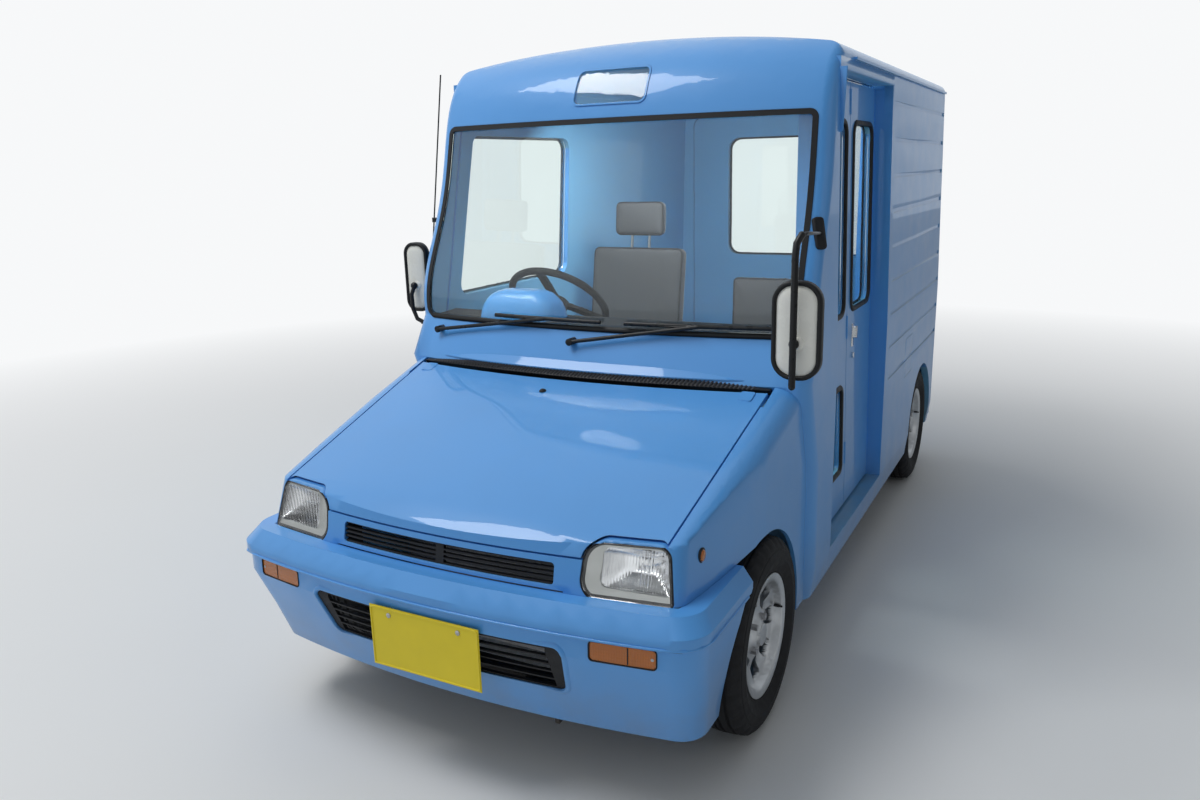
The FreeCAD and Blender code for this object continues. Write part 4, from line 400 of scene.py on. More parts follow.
def tinted(tree, shader, factor, colour):
    """Blend a colour over the base colour."""
    socket = shader.inputs["Base Color"]
    tree.links.new(blended(tree, factor, socket.links[0].from_socket, colour), socket)


def raised(tree, shader, height, strength, depth):
    """Bump from a height, on top of any bump that is there already."""
    inputs = {"Height": height, "Strength": strength, "Distance": depth}
    before = shader.inputs["Normal"]
    if before.is_linked:
        inputs["Normal"] = before.links[0].from_socket
    tree.links.new(new_node(tree, "ShaderNodeBump", inputs).outputs["Normal"], before)


def mixed_surface(tree, end, factor, first, second):
    """Put a mix of two shaders on a tree's output."""
    mix = new_node(tree, "ShaderNodeMixShader", {"Fac": factor, 1: first, 2: second})
    tree.links.new(mix.outputs["Shader"], tree.nodes[end].inputs["Surface"])


def material(name, colour, spread=0.05, spot=6.0, roughness=(0.3, 0.4), **sockets):
    """A new material whose colour and roughness vary over its surface."""
    made = bpy.data.materials.new("van_" + name)
    made.use_nodes = True
    tree = made.node_tree
    shader = tree.nodes["Principled BSDF"]
    for key, value in sockets.items():
        shader.inputs[key.replace("_", " ").title().replace("Ior", "IOR")].default_value = value
    tone = blended(tree, ranged(tree, noise(tree, spot), 0.3, 0.7, 0.0, 1.0), scaled(colour, 1 - spread),
                   scaled(colour, 1 + spread))
    fill_inputs(tree, shader, {"Base Color": tone,
                               "Roughness": ranged(tree, noise(tree, spot * 4), 0.3, 0.7, *roughness)})
    return made, tree, shader


def dusted(tree, shader, dust, top, foot, most):
    """Road dust that gathers towards the foot of the van."""
    low = ranged(tree, axis(tree, "Z"), top, foot, 0.0, most)
    tinted(tree, shader, multiplied(tree, low, ranged(tree, noise(tree, 9.0, 6.0), 0.35, 0.65, 0.4, 1.0)), dust)


def make_paint(name, colour, coat=0.55, edge=0.0022, dust=0.35):
    """Glossy paint, dusty at the foot, on panels whose edges look folded, not cut."""
    made, tree, shader = material(name, colour, 0.03, 2.5, (0.32, 0.40), coat_weight=coat,
                                  coat_roughness=0.03, specular_ior_level=0.25)
    dusted(tree, shader, (0.25, 0.23, 0.20), 0.42, 0.18, dust)
    if edge:
        bevel = new_node(tree, "ShaderNodeBevel", {"Radius": edge}, samples=4)
        tree.links.new(bevel.outputs["Normal"], shader.inputs["Normal"])
    raised(tree, shader, noise(tree, 320.0, 1.0), 0.012, 0.0004)
    return made


def lets_light_in(tree, shader, tint):
    """Lamps shine through the glass as through tinted air, so that what is behind it is lit."""
    path = tree.nodes.new("ShaderNodeLightPath")
    clear = new_node(tree, "ShaderNodeBsdfTransparent", {"Color": (*tint, 1.0)})
    mixed_surface(tree, "Material Output", path.outputs["Is Shadow Ray"], shader.outputs["BSDF"],
                  clear.outputs["BSDF"])


def make_glass(name, colour=(0.90, 0.955, 0.945)):
    made, tree, shader = material(name, colour, 0.01, 3.0, (0.0, 0.012), transmission_weight=1.0, ior=1.45)
    raised(tree, shader, noise(tree, 7.0, 1.0), 0.02, 0.0006)
    lets_light_in(tree, shader, colour)
    return made


def make_lamp_glass(name):
    """Pressed lamp glass: plain at its border, with upright flutes over the reflector."""
    made, tree, shader = material(name, (0.97, 0.98, 0.98), 0.01, 3.0, (0.0, 0.02), transmission_weight=1.0,
                                  ior=1.45)
    outward, height = calculated(tree, "ABSOLUTE", axis(tree, "X")), axis(tree, "Z")
    (x0, z0, _), (x1, _, _), (_, z1, _) = BEZEL_HOLE[:3]
    fluted = wave(tree, 46.0, "X")
    for place, at, shares in ((outward, x0, (0.0, 1.0)), (outward, x1, (1.0, 0.0)), (height, z0, (0.0, 1.0)),
                              (height, z1, (1.0, 0.0))):
        fluted = multiplied(tree, fluted, ranged(tree, place, at - 0.002, at + 0.002, *shares))
    raised(tree, shader, fluted, 0.5, 0.0011)
    lets_light_in(tree, shader, (0.93, 0.94, 0.94))
    return made


def make_metal(name, colour, roughness, spread=0.05, spot=20.0, bump=0.05):
    made, tree, shader = material(name, colour, spread, spot, roughness, metallic=1.0)
    raised(tree, shader, noise(tree, 160.0, 4.0), bump, 0.0006)
    return made


def make_lens(name, colour):
    """A coloured lens with fine pressed ribs."""
    made, tree, shader = material(name, colour, 0.06, 12.0, (0.08, 0.14), transmission_weight=0.35, ior=1.49,
                                  coat_weight=0.6)
    raised(tree, shader, wave(tree, 52.0, "X"), 0.35, 0.0008)
    raised(tree, shader, wave(tree, 40.0, "Z"), 0.25, 0.0006)
    return made


def make_grained(name, colour, roughness=(0.55, 0.7), grain=900.0, depth=0.0004, strength=0.35, spread=0.12):
    """Moulded plastic or rubber with a fine grain."""
    made, tree, shader = material(name, colour, spread, 10.0, roughness, specular_ior_level=0.28)
    cells = new_node(tree, "ShaderNodeTexVoronoi", {"Vector": coordinates(tree), "Scale": grain})
    raised(tree, shader, cells.outputs["Distance"], strength, depth)
    return made


def make_cloth(name, colour):
    """Woven seat cloth."""
    made, tree, shader = material(name, colour, 0.12, 30.0, (0.8, 0.95), sheen_weight=0.35, sheen_roughness=0.4)
    weave = multiplied(tree, wave(tree, 210.0, "X"), wave(tree, 210.0, "Z"))
    tinted(tree, shader, weave, scaled(colour, 1.5))
    raised(tree, shader, weave, 0.25, 0.0004)
    raised(tree, shader, noise(tree, 14.0, 3.0), 0.25, 0.003)
    return made


def make_underseal(name, colour):
    made, tree, shader = material(name, colour, 0.25, 5.0, (0.7, 0.9))
    dusted(tree, shader, (0.12, 0.10, 0.08), 0.5, 0.1, 0.6)
    raised(tree, shader, noise(tree, 130.0, 5.0), 0.5, 0.0015)
    return made


def make_exhaust_steel(name):
    """Brown steel that is blued by heat towards the engine."""
    made, tree, shader = material(name, (0.30, 0.26, 0.22), 0.2, 12.0, (0.4, 0.6), metallic=0.9)
    tinted(tree, shader, ranged(tree, axis(tree, "Y"), 0.3, -0.7, 0.0, 0.8), (0.20, 0.19, 0.26))
    raised(tree, shader, noise(tree, 90.0, 5.0), 0.3, 0.0008)
    return made


def make_silvering(name):
    made, tree, shader = material(name, (0.90, 0.92, 0.93), 0.01, 4.0, (0.01, 0.03), metallic=1.0)
    raised(tree, shader, noise(tree, 5.0, 1.0), 0.01, 0.0005)
    return made


# What makes each finish, from its name
MAKERS = {
    "body_paint": lambda n: make_paint(n, colours().body),
    "inner_paint": lambda n: make_paint(n, scaled(colours().cabin, 0.8), 0.3, 0.0, 0.6),
    "clear_glass": make_glass,
    "lamp_glass": make_lamp_glass,
    "reflector": lambda n: make_metal(n, (0.80, 0.81, 0.83), (0.05, 0.12), bump=0.02),
    "bezel_grey": lambda n: make_metal(n, (0.40, 0.41, 0.40), (0.28, 0.36), bump=0.02),
    "amber_lens": lambda n: make_lens(n, colours().amber),
    "red_lens": lambda n: make_lens(n, colours().red),
    "rubber_seal": lambda n: make_grained(n, colours().rubber, (0.42, 0.55), 500.0, 0.0002, 0.2),
    "black_plastic": lambda n: make_grained(n, colours().plastic),
    "dash_plastic": lambda n: make_grained(n, scaled(colours().plastic, 1.8), (0.6, 0.75), 420.0, 0.0008, 0.5),
    # The louvres get a lighter copy of the black plastic: a painted highlight on their ridges.
    "louvre_plastic": lambda n: make_grained(n, scaled(colours().plastic, 3.2), (0.35, 0.5)),
    "seat_fabric": lambda n: make_cloth(n, colours().seat),
    "piping": lambda n: make_grained(n, scaled(colours().seat, 0.5), (0.5, 0.6), 1200.0),
    "mirror_shell": lambda n: make_grained(n, colours().mirror_back, (0.22, 0.32), 300.0, 0.0001, 0.1, 0.02),
    "black_tube": lambda n: make_grained(n, (0.012, 0.012, 0.013), (0.25, 0.35), 260.0, 0.0002, 0.15),
    "chrome_trim": lambda n: make_metal(n, (0.78, 0.79, 0.80), (0.07, 0.16)),
    "cast_alloy": lambda n: make_metal(n, colours().alloy, (0.28, 0.42), 0.08, 30.0, 0.12),
    "steel": lambda n: make_metal(n, (0.45, 0.45, 0.46), (0.25, 0.4)),
    "tyre_rubber": lambda n: make_grained(n, scaled(colours().rubber, 1.5), (0.72, 0.88), 700.0, 0.0004, 0.3),
    "plate_yellow": lambda n: make_grained(n, colours().plate, (0.35, 0.45), 150.0, 0.0001, 0.08, 0.03),
    "underbody": lambda n: make_underseal(n, (0.045, 0.05, 0.055)),
    "chassis_black": lambda n: make_underseal(n, (0.02, 0.02, 0.021)),
    "engine_metal": lambda n: make_metal(n, (0.28, 0.28, 0.29), (0.45, 0.65), 0.2, 18.0, 0.5),
    "exhaust_steel": make_exhaust_steel,
    "silvered_glass": make_silvering,
}
FINISHES = {}


def finish(name):
    """The material of a finish, made when it is first asked for."""
    if name not in FINISHES:
        FINISHES[name] = MAKERS[name](name)
    return FINISHES[name]


# Meshes and pieces

def in_scene(name, data):
    obj = bpy.data.objects.new(name, data)
    bpy.context.scene.collection.objects.link(obj)
    return obj


def final_mesh(obj, keep=False):
    """A plain mesh of what an object's modifiers make of it; they go, and so does the object unless it is kept."""
    mesh = bpy.data.meshes.new_from_object(obj.evaluated_get(bpy.context.evaluated_depsgraph_get()))
    obj.modifiers.clear()
    if not keep:
        bpy.data.objects.remove(obj)
    return mesh


def mesh_of(bm):
    mesh = bpy.data.meshes.new("van_piece")
    bm.to_mesh(mesh)
    bm.free()
    return mesh


def add_piece(name, mesh, look, slot=None, angle=35.0, body=VAN, even=False):
    """A finished piece: smooth but for edges that turn by more than an angle.

    Even: its normals are weighted by the size of its faces, so that flat panels look flat.
    """
    if look:
        mesh.materials.clear()
        mesh.materials.append(finish(look))
    mesh.polygons.foreach_set("use_smooth", [True] * len(mesh.polygons))
    mesh.set_sharp_from_angle(angle=math.radians(angle))
    if even:
        obj = in_scene("evened", mesh)
        obj.modifiers.new("even", "WEIGHTED_NORMAL").keep_sharp = True
        mesh = final_mesh(obj)
    mesh.name = name
    obj = in_scene(name, mesh)
    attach(obj, body)
    slot or look
    return obj


def dress(node, look=None, angle=30.0, inner=None, region=None, moved=None):
    """Replace a node by a smooth copy with its finish; faces in a region get the inner finish."""
    bm = bmesh.new()
    bm.from_mesh(frame["nodes"][node].data)
    bmesh.ops.remove_doubles(bm, verts=bm.verts, dist=WELD)
    if moved:
        for vertex in bm.verts:
            vertex.co = moved(vertex.co)
    if region:
        for face in bm.faces:
            face.material_index = int(region(face.calc_center_median(), face.normal))
    mesh = mesh_of(bm)
    mesh.materials.append(finish(look or SLOT_OF[node]))
    if region:
        mesh.materials.append(finish(inner))
    obj = add_piece(node + "_dressed", mesh, None, SLOT_OF[node], angle, BODY_OF[node], True)
    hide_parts(node)


def rounded_loop(corners, steps=6):
    """Points round a polygon of (u, v, radius) corners."""
    points = []
    count = len(corners)
    for i in range(count):
        here = Vector(corners[i][:2])
        before = (Vector(corners[i - 1][:2]) - here).normalized()
        after = (Vector(corners[(i + 1) % count][:2]) - here).normalized()
        half = before.angle(after) / 2
        radius = corners[i][2]
        centre = here + (before + after).normalized() * (radius / math.sin(half))
        start = here + before * (radius / math.tan(half)) - centre
        turn = start.angle_signed(here + after * (radius / math.tan(half)) - centre)
        for k in range(steps + 1):
            angle = turn * k / steps
            spun = Vector((start.x * math.cos(angle) + start.y * math.sin(angle),
                           -start.x * math.sin(angle) + start.y * math.cos(angle)))
            points.append(tuple(centre + spun))
    return points


def rectangle(u0, u1, v0, v1, radius, steps=6):
    """Points round a rectangle with rounded corners."""
    return rounded_loop([(u0, v0, radius), (u1, v0, radius), (u1, v1, radius), (u0, v1, radius)], steps)


def centred(half_u, half_v, radius, steps=6, centre=(0.0, 0.0)):
    u, v = centre
    return rectangle(u - half_u, u + half_u, v - half_v, v + half_v, radius, steps)


def swept(points, radius, closed=False):
    """A round tube along points, as a mesh."""
    curve = bpy.data.curves.new("tube", "CURVE")
    curve.dimensions = "3D"
    spline = curve.splines.new("POLY")
    spline.points.add(len(points) - 1)
    for point, place in zip(spline.points, points):
        point.co = (*place, 1.0)
    spline.use_cyclic_u = closed
    curve.bevel_depth = radius
    curve.bevel_resolution = 3
    curve.use_fill_caps = not closed
    mesh = final_mesh(in_scene("tube", curve))
    bpy.data.curves.remove(curve)
    return mesh


def lofted(rings, filled=False, around=True):
    """A bmesh of quads between rings of points: the last ring joins the first, or both are filled.

    Unless it goes around, a ring's last point isn't joined to its first.
    """
    bm = bmesh.new()
    rings = [[bm.verts.new(point) for point in ring] for ring in rings]
    for i in range(len(rings) - int(filled)):
        ring, following = rings[i], rings[(i + 1) % len(rings)]
        for j in range(len(ring) - int(not around)):
            k = (j + 1) % len(ring)
            bm.faces.new((ring[j], ring[k], following[k], following[j]))
    if filled:
        bm.faces.new(rings[0])
        bm.faces.new(rings[-1])
    return bm


def body_of(rings, filled=True):
    """The mesh of such a shape, with its faces turned outwards."""
    bm = lofted(rings, filled)
    bmesh.ops.recalc_face_normals(bm, faces=bm.faces)
    return mesh_of(bm)


def pad(outline, rise, place):
    """A closed pad. Outline gives its edge for an inset, rise is (inset, proud), place as for a moulding."""
    return body_of([[place(u, v, proud) for u, v in outline(inset)] for inset, proud in rise])


def moulding(loop, section, place):
    """A closed bar round a loop. Its section is (outwards, proud), and place puts (u, v, proud) in the van."""
    rings = []
    for i, (u, v) in enumerate(loop):
        along = Vector(loop[(i + 1) % len(loop)]) - Vector(loop[i - 1])
        out = Vector((along.y, -along.x)).normalized()
        rings.append([place(u + out.x * o, v + out.y * o, h) for o, h in section])
    return body_of(rings, False)


def turned(outline, steps, closed=False):
    """A bmesh turned about the X axis from (x, r) points."""
    rings = []
    for i in range(steps):
        angle = 2 * math.pi * i / steps
        rings.append([(x, r * math.sin(angle), r * math.cos(angle)) for x, r in outline])
    bm = lofted(rings, around=closed)
    bmesh.ops.remove_doubles(bm, verts=bm.verts, dist=AXIS_WELD)
    bmesh.ops.recalc_face_normals(bm, faces=bm.faces)
    return bm


def put(bm, place, degrees=0.0, about="Z"):
    """The mesh of a shape that was built at the origin, turned and moved to its place."""
    bm.transform(Matrix.Translation(place) @ Matrix.Rotation(math.radians(degrees), 4, about))
    return mesh_of(bm)


def skin_finder(*nodes):
    """A function that says where a ray meets the nodes, and which way their surface faces there."""
    bm = bmesh.new()
    for node in nodes:
        bm.from_mesh(frame["nodes"][node].data)
    tree = BVHTree.FromBMesh(bm)
    bm.free()

    def meet(start, way):
        place, normal, _, _ = tree.ray_cast(Vector(start), Vector(way).normalized())
        if place is None:
            raise RuntimeError("no skin of %s in front of %s" % (", ".join(nodes), tuple(start)))
        return place, normal

    return meet


def front_finder(*nodes):
    """A function that puts (x, z, proud) on the nodes' skin as seen from the front."""
    meet = skin_finder(*nodes)
    return lambda x, z, proud: (x, meet((x, -FAR, z), (0, 1, 0))[0].y - proud, z)


def place_on_leaf(x, y, height):
    """From a leaf's own upright frame to its leaning place."""
    sin, cos = math.sin(LEAF_LEAN), math.cos(LEAF_LEAN)
    return (LEAF_FOOT_X + x * cos - height * sin, y, LEAF_FOOT_Z + x * sin + height * cos)


def side_skin(z):
    """Half width of the straight body's skin at a height."""
    for (z0, x0), (z1, x1) in zip(SIDE_PROFILE, SIDE_PROFILE[1:]):
        if z <= z1:
            return x0 + (x1 - x0) * (z - z0) / (z1 - z0)
    return SIDE_PROFILE[-1][1]


def on_driver_door(y, z, proud):
    return (-side_skin(z) - proud, y, z)


def on_tailgate(x, z, proud):
    return (x, TAIL_Y + proud, z)


def repeated(name, points, build_instance, named, look):
    """Geometry Nodes that put one small shape on every point, as a plain mesh; named gives the tree's inputs."""
    mesh = bpy.data.meshes.new(name + "_points")
    mesh.from_pydata(points, [], [])
    tree = bpy.data.node_groups.new(name + "_nodes", "GeometryNodeTree")
    for way in ("INPUT", "OUTPUT"):
        tree.interface.new_socket("Geometry", in_out=way, socket_type="NodeSocketGeometry")
    for key, value in named.items():
        tree.interface.new_socket(key, in_out="INPUT", socket_type="NodeSocketFloat").default_value = value
    start = tree.nodes.new("NodeGroupInput")
    instances = new_node(tree, "GeometryNodeInstanceOnPoints", {"Points": start.outputs["Geometry"]})
    fill_inputs(tree, instances, build_instance(tree, start.outputs))
    real = new_node(tree, "GeometryNodeRealizeInstances", {"Geometry": instances.outputs["Instances"]})
    paint = new_node(tree, "GeometryNodeSetMaterial", {"Geometry": real.outputs["Geometry"],
                                                       "Material": finish(look)})
    new_node(tree, "NodeGroupOutput", {"Geometry": paint.outputs["Geometry"]})
    obj = in_scene(name, mesh)
    modifier = obj.modifiers.new("repeat", "NODES")
    modifier.node_group = tree
    for item in tree.interface.items_tree:
        if item.name in named:
            modifier[item.identifier] = named[item.name]
    return final_mesh(obj)


# Operators

class VanOperator:
    bl_options = {"REGISTER", "UNDO"}


class DressPanels(VanOperator, Operator):
    """Painted panels of the body, nose and doors."""

    bl_idname = "van.dress_panels"
    bl_label = "Painted panels"

    def execute(self, context):
        for node in ROUND_CABIN:
            dress(node, angle=24.0, inner="inner_paint", region=lambda c, n: n.dot(CABIN_MID - c) > 0)
        for node in OUTSIDE:
            dress(node, angle=24.0)
        return {"FINISHED"}


class DressGlazing(VanOperator, Operator):
    """Windscreen, header window, door, leaf and tailgate glass."""

    bl_idname = "van.dress_glazing"
    bl_label = "Glazing"

    def execute(self, context):
        for node in GLASSES:
            dress(node)
        return {"FINISHED"}


class AddRubbers(VanOperator, Operator):
    """Black rubbers round the screens and windows."""

    bl_idname = "van.add_rubbers"
    bl_label = "Window rubbers"

    def rubber(self, name, loop, body, place):
        half, height = sizes().rubber_width / 2, sizes().rubber_height
        section = [(-half, -0.004), (-half, height * 0.3), (0.002 - half, height * 0.85),
                   (0.005 - half, height), (half - 0.006, height), (half - 0.002, height * 0.6),
                   (half, -0.0005)]
        add_piece(name, moulding(loop, section, place), "rubber_seal", angle=40.0, body=body)

    def execute(self, context):
        dress("front_seals", angle=40.0, inner="body_paint", region=lambda c, n: c.z > HEADER_Z)
        for leaf, windows in LEAF_WINDOWS.items():
            for number, window in enumerate(windows):
                name, loop = "%s_rubber_%d" % (leaf, number), rectangle(*window)
                self.rubber(name + "_out", loop, leaf, lambda y, height, proud: place_on_leaf(proud, y, height))
                self.rubber(name + "_in", loop, leaf,
                            lambda y, height, proud: place_on_leaf(-LEAF_T - proud * 0.6, y, height))
        self.rubber("driver_window_rubber", rounded_loop(DRIVER_WINDOW), "driver_door", on_driver_door)
        self.rubber("tail_window_rubber", rounded_loop(TAIL_WINDOW), "tailgate", on_tailgate)
        return {"FINISHED"}


class AddCowl(VanOperator, Operator):
    """Black cowl strip with its row of louvres, and the painted ledge behind it."""

    bl_idname = "van.add_cowl"
    bl_label = "Cowl strip"

    def slimmer(self, co):
        """The strip's upper half pressed down, more so towards its pointed ends."""
        start, end, middle, tip = COWL_TAPER
        share = min(max((abs(co.x) - start) / (end - start), 0.0), 1.0) ** 2
        share = middle + (tip - middle) * share
        return Vector((co.x, co.y, COWL_Z + (co.z - COWL_Z) * share)) if co.z > COWL_Z else co

    def louvre(self, tree, inputs):
        """A bent rib, turned to lie square to the strip's front edge, and as slim as the strip is there."""
        section = new_node(tree, "GeometryNodeCurvePrimitiveQuadrilateral",
                           {"Width": inputs["Width"], "Height": inputs["Width"]})
        path = new_node(tree, "GeometryNodeCurveQuadraticBezier",
                        {"Resolution": 4, "Start": LOUVRE[0], "Middle": LOUVRE[1], "End": LOUVRE[2]})
        rib = new_node(tree, "GeometryNodeCurveToMesh", {"Curve": path.outputs["Curve"], "Fill Caps": True,
                                                         "Profile Curve": section.outputs["Curve"]})
        x = axis(tree, "X", tree.nodes.new("GeometryNodeInputPosition").outputs["Position"])
        along = ranged(tree, calculated(tree, "ABSOLUTE", x), *COWL_TAPER[:2], 0.0, 1.0)
        share = ranged(tree, multiplied(tree, along, along), 0.0, 1.0, *COWL_TAPER[2:])
        turns = new_node(tree, "ShaderNodeCombineXYZ", {"Z": multiplied(tree, x, 2 * COWL_SWEEP)})
        grown = new_node(tree, "ShaderNodeCombineXYZ", {"X": 1.0, "Y": 1.0, "Z": share})
        return {"Instance": rib.outputs["Mesh"], "Rotation": turns.outputs["Vector"],
                "Scale": grown.outputs["Vector"]}

    def ledge(self):
        """A wedge of paint-coloured metal along the screen's foot that dies away at both ends."""
        half, foot, height, proud, steps = LEDGE
        on_mask = front_finder("front_mask")
        rings = []
        for i in range(steps + 1):
            x = half * (2 * i / steps - 1)
            share = max(1 - (x / half) ** 4, 0.03)
            top, low = foot + height * share, foot + 0.004
            _, low_y, _ = on_mask(x, foot, 0.0)
            rings.append([on_mask(x, top, 0.0004), (x, low_y - proud * share, low),
                          (x, low_y - proud * share, foot), (x, low_y + 0.004, foot),
                          on_mask(x, top, -0.004)])
        return body_of(rings)

    def execute(self, context):
        # The strip takes the darker rubber finish, so that the slots between the louvres read as painted shade.
        dress("cowl_grille", look="rubber_seal", moved=self.slimmer)
        pitch = sizes().louvre_pitch
        steps = int(COWL_HALF / pitch)
        points = [(i * pitch, COWL_Y + COWL_SWEEP * (i * pitch) ** 2, COWL_Z) for i in range(-steps, steps + 1)]
        mesh = repeated("cowl_louvres", points, self.louvre, {"Width": sizes().louvre_width}, "louvre_plastic")
        add_piece("cowl_louvres", mesh, None, "black_plastic", 30.0)
        add_piece("scuttle_ledge", self.ledge(), "body_paint", angle=24.0)
        return {"FINISHED"}


class AddBonnetFittings(VanOperator, Operator):
    """Washer jet on the bonnet and the covers of its hinge pockets."""

    bl_idname = "van.add_bonnet_fittings"
    bl_label = "Bonnet fittings"

    def execute(self, context):
        meet = skin_finder("bonnet")
        x0, _, y0, _, _ = HINGE_COVER
        inwards, ahead = HINGE_SLOPE
        foot, head = (meet((x0 - inwards, y, FAR), (0, 0, -1))[0] for y in (y0 - ahead, y0))
        slope = (head.z - foot.z) / (head.y - foot.y)
        for side, sign in SIDES.items():
            mesh = pad(lambda inset: rectangle(*HINGE_COVER, 5), HINGE_COVER_RISE,
                       lambda x, y, proud: (sign * x, y, head.z + slope * (y - head.y) + proud))
            add_piece("hinge_cover_" + side, mesh, "body_paint", angle=30.0, body="bonnet")
        x, y = WASHER_JET
        skin, _ = meet((x, y, FAR), (0, 0, -1))
        mesh = put(turned(JET_OUTLINE, 24), (x, y, skin.z - 0.001), -90.0, "Y")
        add_piece("washer_jet", mesh, "black_plastic", body="bonnet")
        return {"FINISHED"}


class DressGrilles(VanOperator, Operator):
    """Slatted grilles, the raised lip round the lower one, and the bumper's bead with a thin black line under it
    as a painted shadow of its crease.
    """

    bl_idname = "van.dress_grilles"
    bl_label = "Grilles"

    def round_bumper(self, z, radius):
        """A bar round the bumper at a height."""
        meet = skin_finder("front_bumper")
        points = []
        for degrees in range(-84, 85, 3):
            way = Vector((math.sin(math.radians(degrees)), -math.cos(math.radians(degrees)), 0))
            skin, _ = meet(Vector((0, BUMPER_MID_Y, z)) + way * FAR, -way)
            points.append(tuple(skin))
        return swept(points, radius)

    def execute(self, context):
        dress("grilles")
        add_piece("bumper_bead", self.round_bumper(*BUMPER_BEAD), "body_paint", angle=60.0)
        # A thin black tube under the bead: a painted shadow of the crease, not a real groove.
        add_piece("bumper_groove", self.round_bumper(*BUMPER_SHADOW_LINE), "chassis_black", "body_paint", 60.0)
        mesh = moulding(rounded_loop(LOWER_GRILLE, 8), GRILLE_LIP, front_finder("front_bumper"))
        add_piece("grille_lip", mesh, "body_paint", angle=50.0)
        return {"FINISHED"}


class AddHeadlamps(VanOperator, Operator):
    """Lamp glasses, bezels, reflectors and bulbs."""

    bl_idname = "van.add_headlamps"
    bl_label = "Headlamps"

    def execute(self, context):
        dress("headlamp_lenses")
        dress("headlamp_shells", look="black_plastic", inner="body_paint",
              region=lambda c, n: abs(n.y) < 0.6 and n.z > 0.2 and c.z > 0.66)
        on_glass = front_finder("headlamp_lenses")
        hole, edge = rounded_loop(BEZEL_HOLE, 8), rounded_loop(BEZEL_EDGE, 8)
        centre = Vector((sum(x for x, z in hole), sum(z for x, z in hole))) / len(hole)
        for side, sign in SIDES.items():
            def behind(x, z, depth):
                return on_glass(sign * x, z, -LENS_T - depth)

            depths = zip((edge, hole, hole, edge), BEZEL_DEPTHS)
            rings = [[behind(x, z, depth) for x, z in loop] for loop, depth in depths]
            add_piece("lamp_bezel_" + side, body_of(rings, False), "bezel_grey", "reflector", 30.0)
            bowl = []
            for share in BOWL_SHARES:
                depth = BOWL_RIM + BOWL_DEPTH * (1 - share ** 2)
                bowl.append([behind(*centre.lerp(Vector(point), share), depth) for point in hole])
            back = [[(x, y + BOWL_T, z) for x, y, z in ring] for ring in reversed(bowl)]
            add_piece("lamp_reflector_" + side, body_of(bowl + back, False), "reflector", angle=60.0)
            bulb = put(turned(BULB_OUTLINE, 20), behind(*centre, BULB_DEPTH), -90.0)
            add_piece("bulb_" + side, bulb, "chrome_trim", "reflector")
        return {"FINISHED"}


class DressSignalLamps(VanOperator, Operator):
    """Amber turn lamps, side markers and red tail lamps."""

    bl_idname = "van.dress_signal_lamps"
    bl_label = "Signal lamps"

    def turn_lamp(self, side, sign):
        """Black rim, inner wall and screw of one turn lamp."""
        on_lamp = front_finder("front_bumper", "amber_lenses")

        def place(u, v, proud):
            return on_lamp(sign * u, v, proud)

        add_piece("turn_rim_" + side, moulding(rectangle(*TURN_LAMP), TURN_RIM, place), "rubber_seal", angle=50.0)
        middle = (TURN_LAMP[2] + TURN_LAMP[3]) / 2
        for name, at, half, height, corner, look in TURN_PARTS:
            mesh = pad(lambda inset: centred(half, height, corner, 5, (at, middle)), TURN_RISE, place)
            add_piece(name + side, mesh, look, "amber_lens", 40.0)

    def execute(self, context):
        y, z = MARKER
        skin, _ = skin_finder("front_wings")((1, y, z + MARKER_RIM[1][1]), (-1, 0, 0))
        shown = skin.x + MARKER_SHOWN

        def shortened(co):
            return Vector((math.copysign(min(abs(co.x), shown), co.x), *co.yz))

        dress("amber_lenses", moved=shortened)
        for side, sign in SIDES.items():
            for name, outline, look in (("marker_rim_", MARKER_RIM, "rubber_seal"),
                                        ("marker_dome_", MARKER_DOME, "amber_lens")):
                bm = turned(outline, 32, outline is MARKER_RIM)
                add_piece(name + side, put(bm, (sign * skin.x, y, z), 90.0 - 90.0 * sign), look, angle=40.0)
            self.turn_lamp(side, sign)
        dress("tail_lamps", inner="amber_lens", region=lambda c, n: c.z > TAIL_AMBER_Z)
        return {"FINISHED"}


class AddPlates(VanOperator, Operator):
    """Blank number plates with a raised border and two bolts."""

    bl_idname = "van.add_plates"
    bl_label = "Number plates"

    def execute(self, context):
        dress("number_plates")
        border = sizes().plate_border
        for end, y, z, out in PLATES:
            loop = centred(PLATE_HALF[0] - border, PLATE_HALF[1] - border, 0.008, centre=(0.0, z))
            mesh = swept([(x, y, v) for x, v in loop], border * 0.6, True)
            add_piece("plate_border_" + end, mesh, "plate_yellow", angle=60.0)
            for number, x in enumerate(BOLTS_X):
                mesh = put(turned(BOLT_OUTLINE, 16), (x, y, z + BOLTS_UP), out * 90.0)
                add_piece("plate_bolt_%s_%d" % (end, number), mesh, "steel", "chrome_trim")
        return {"FINISHED"}


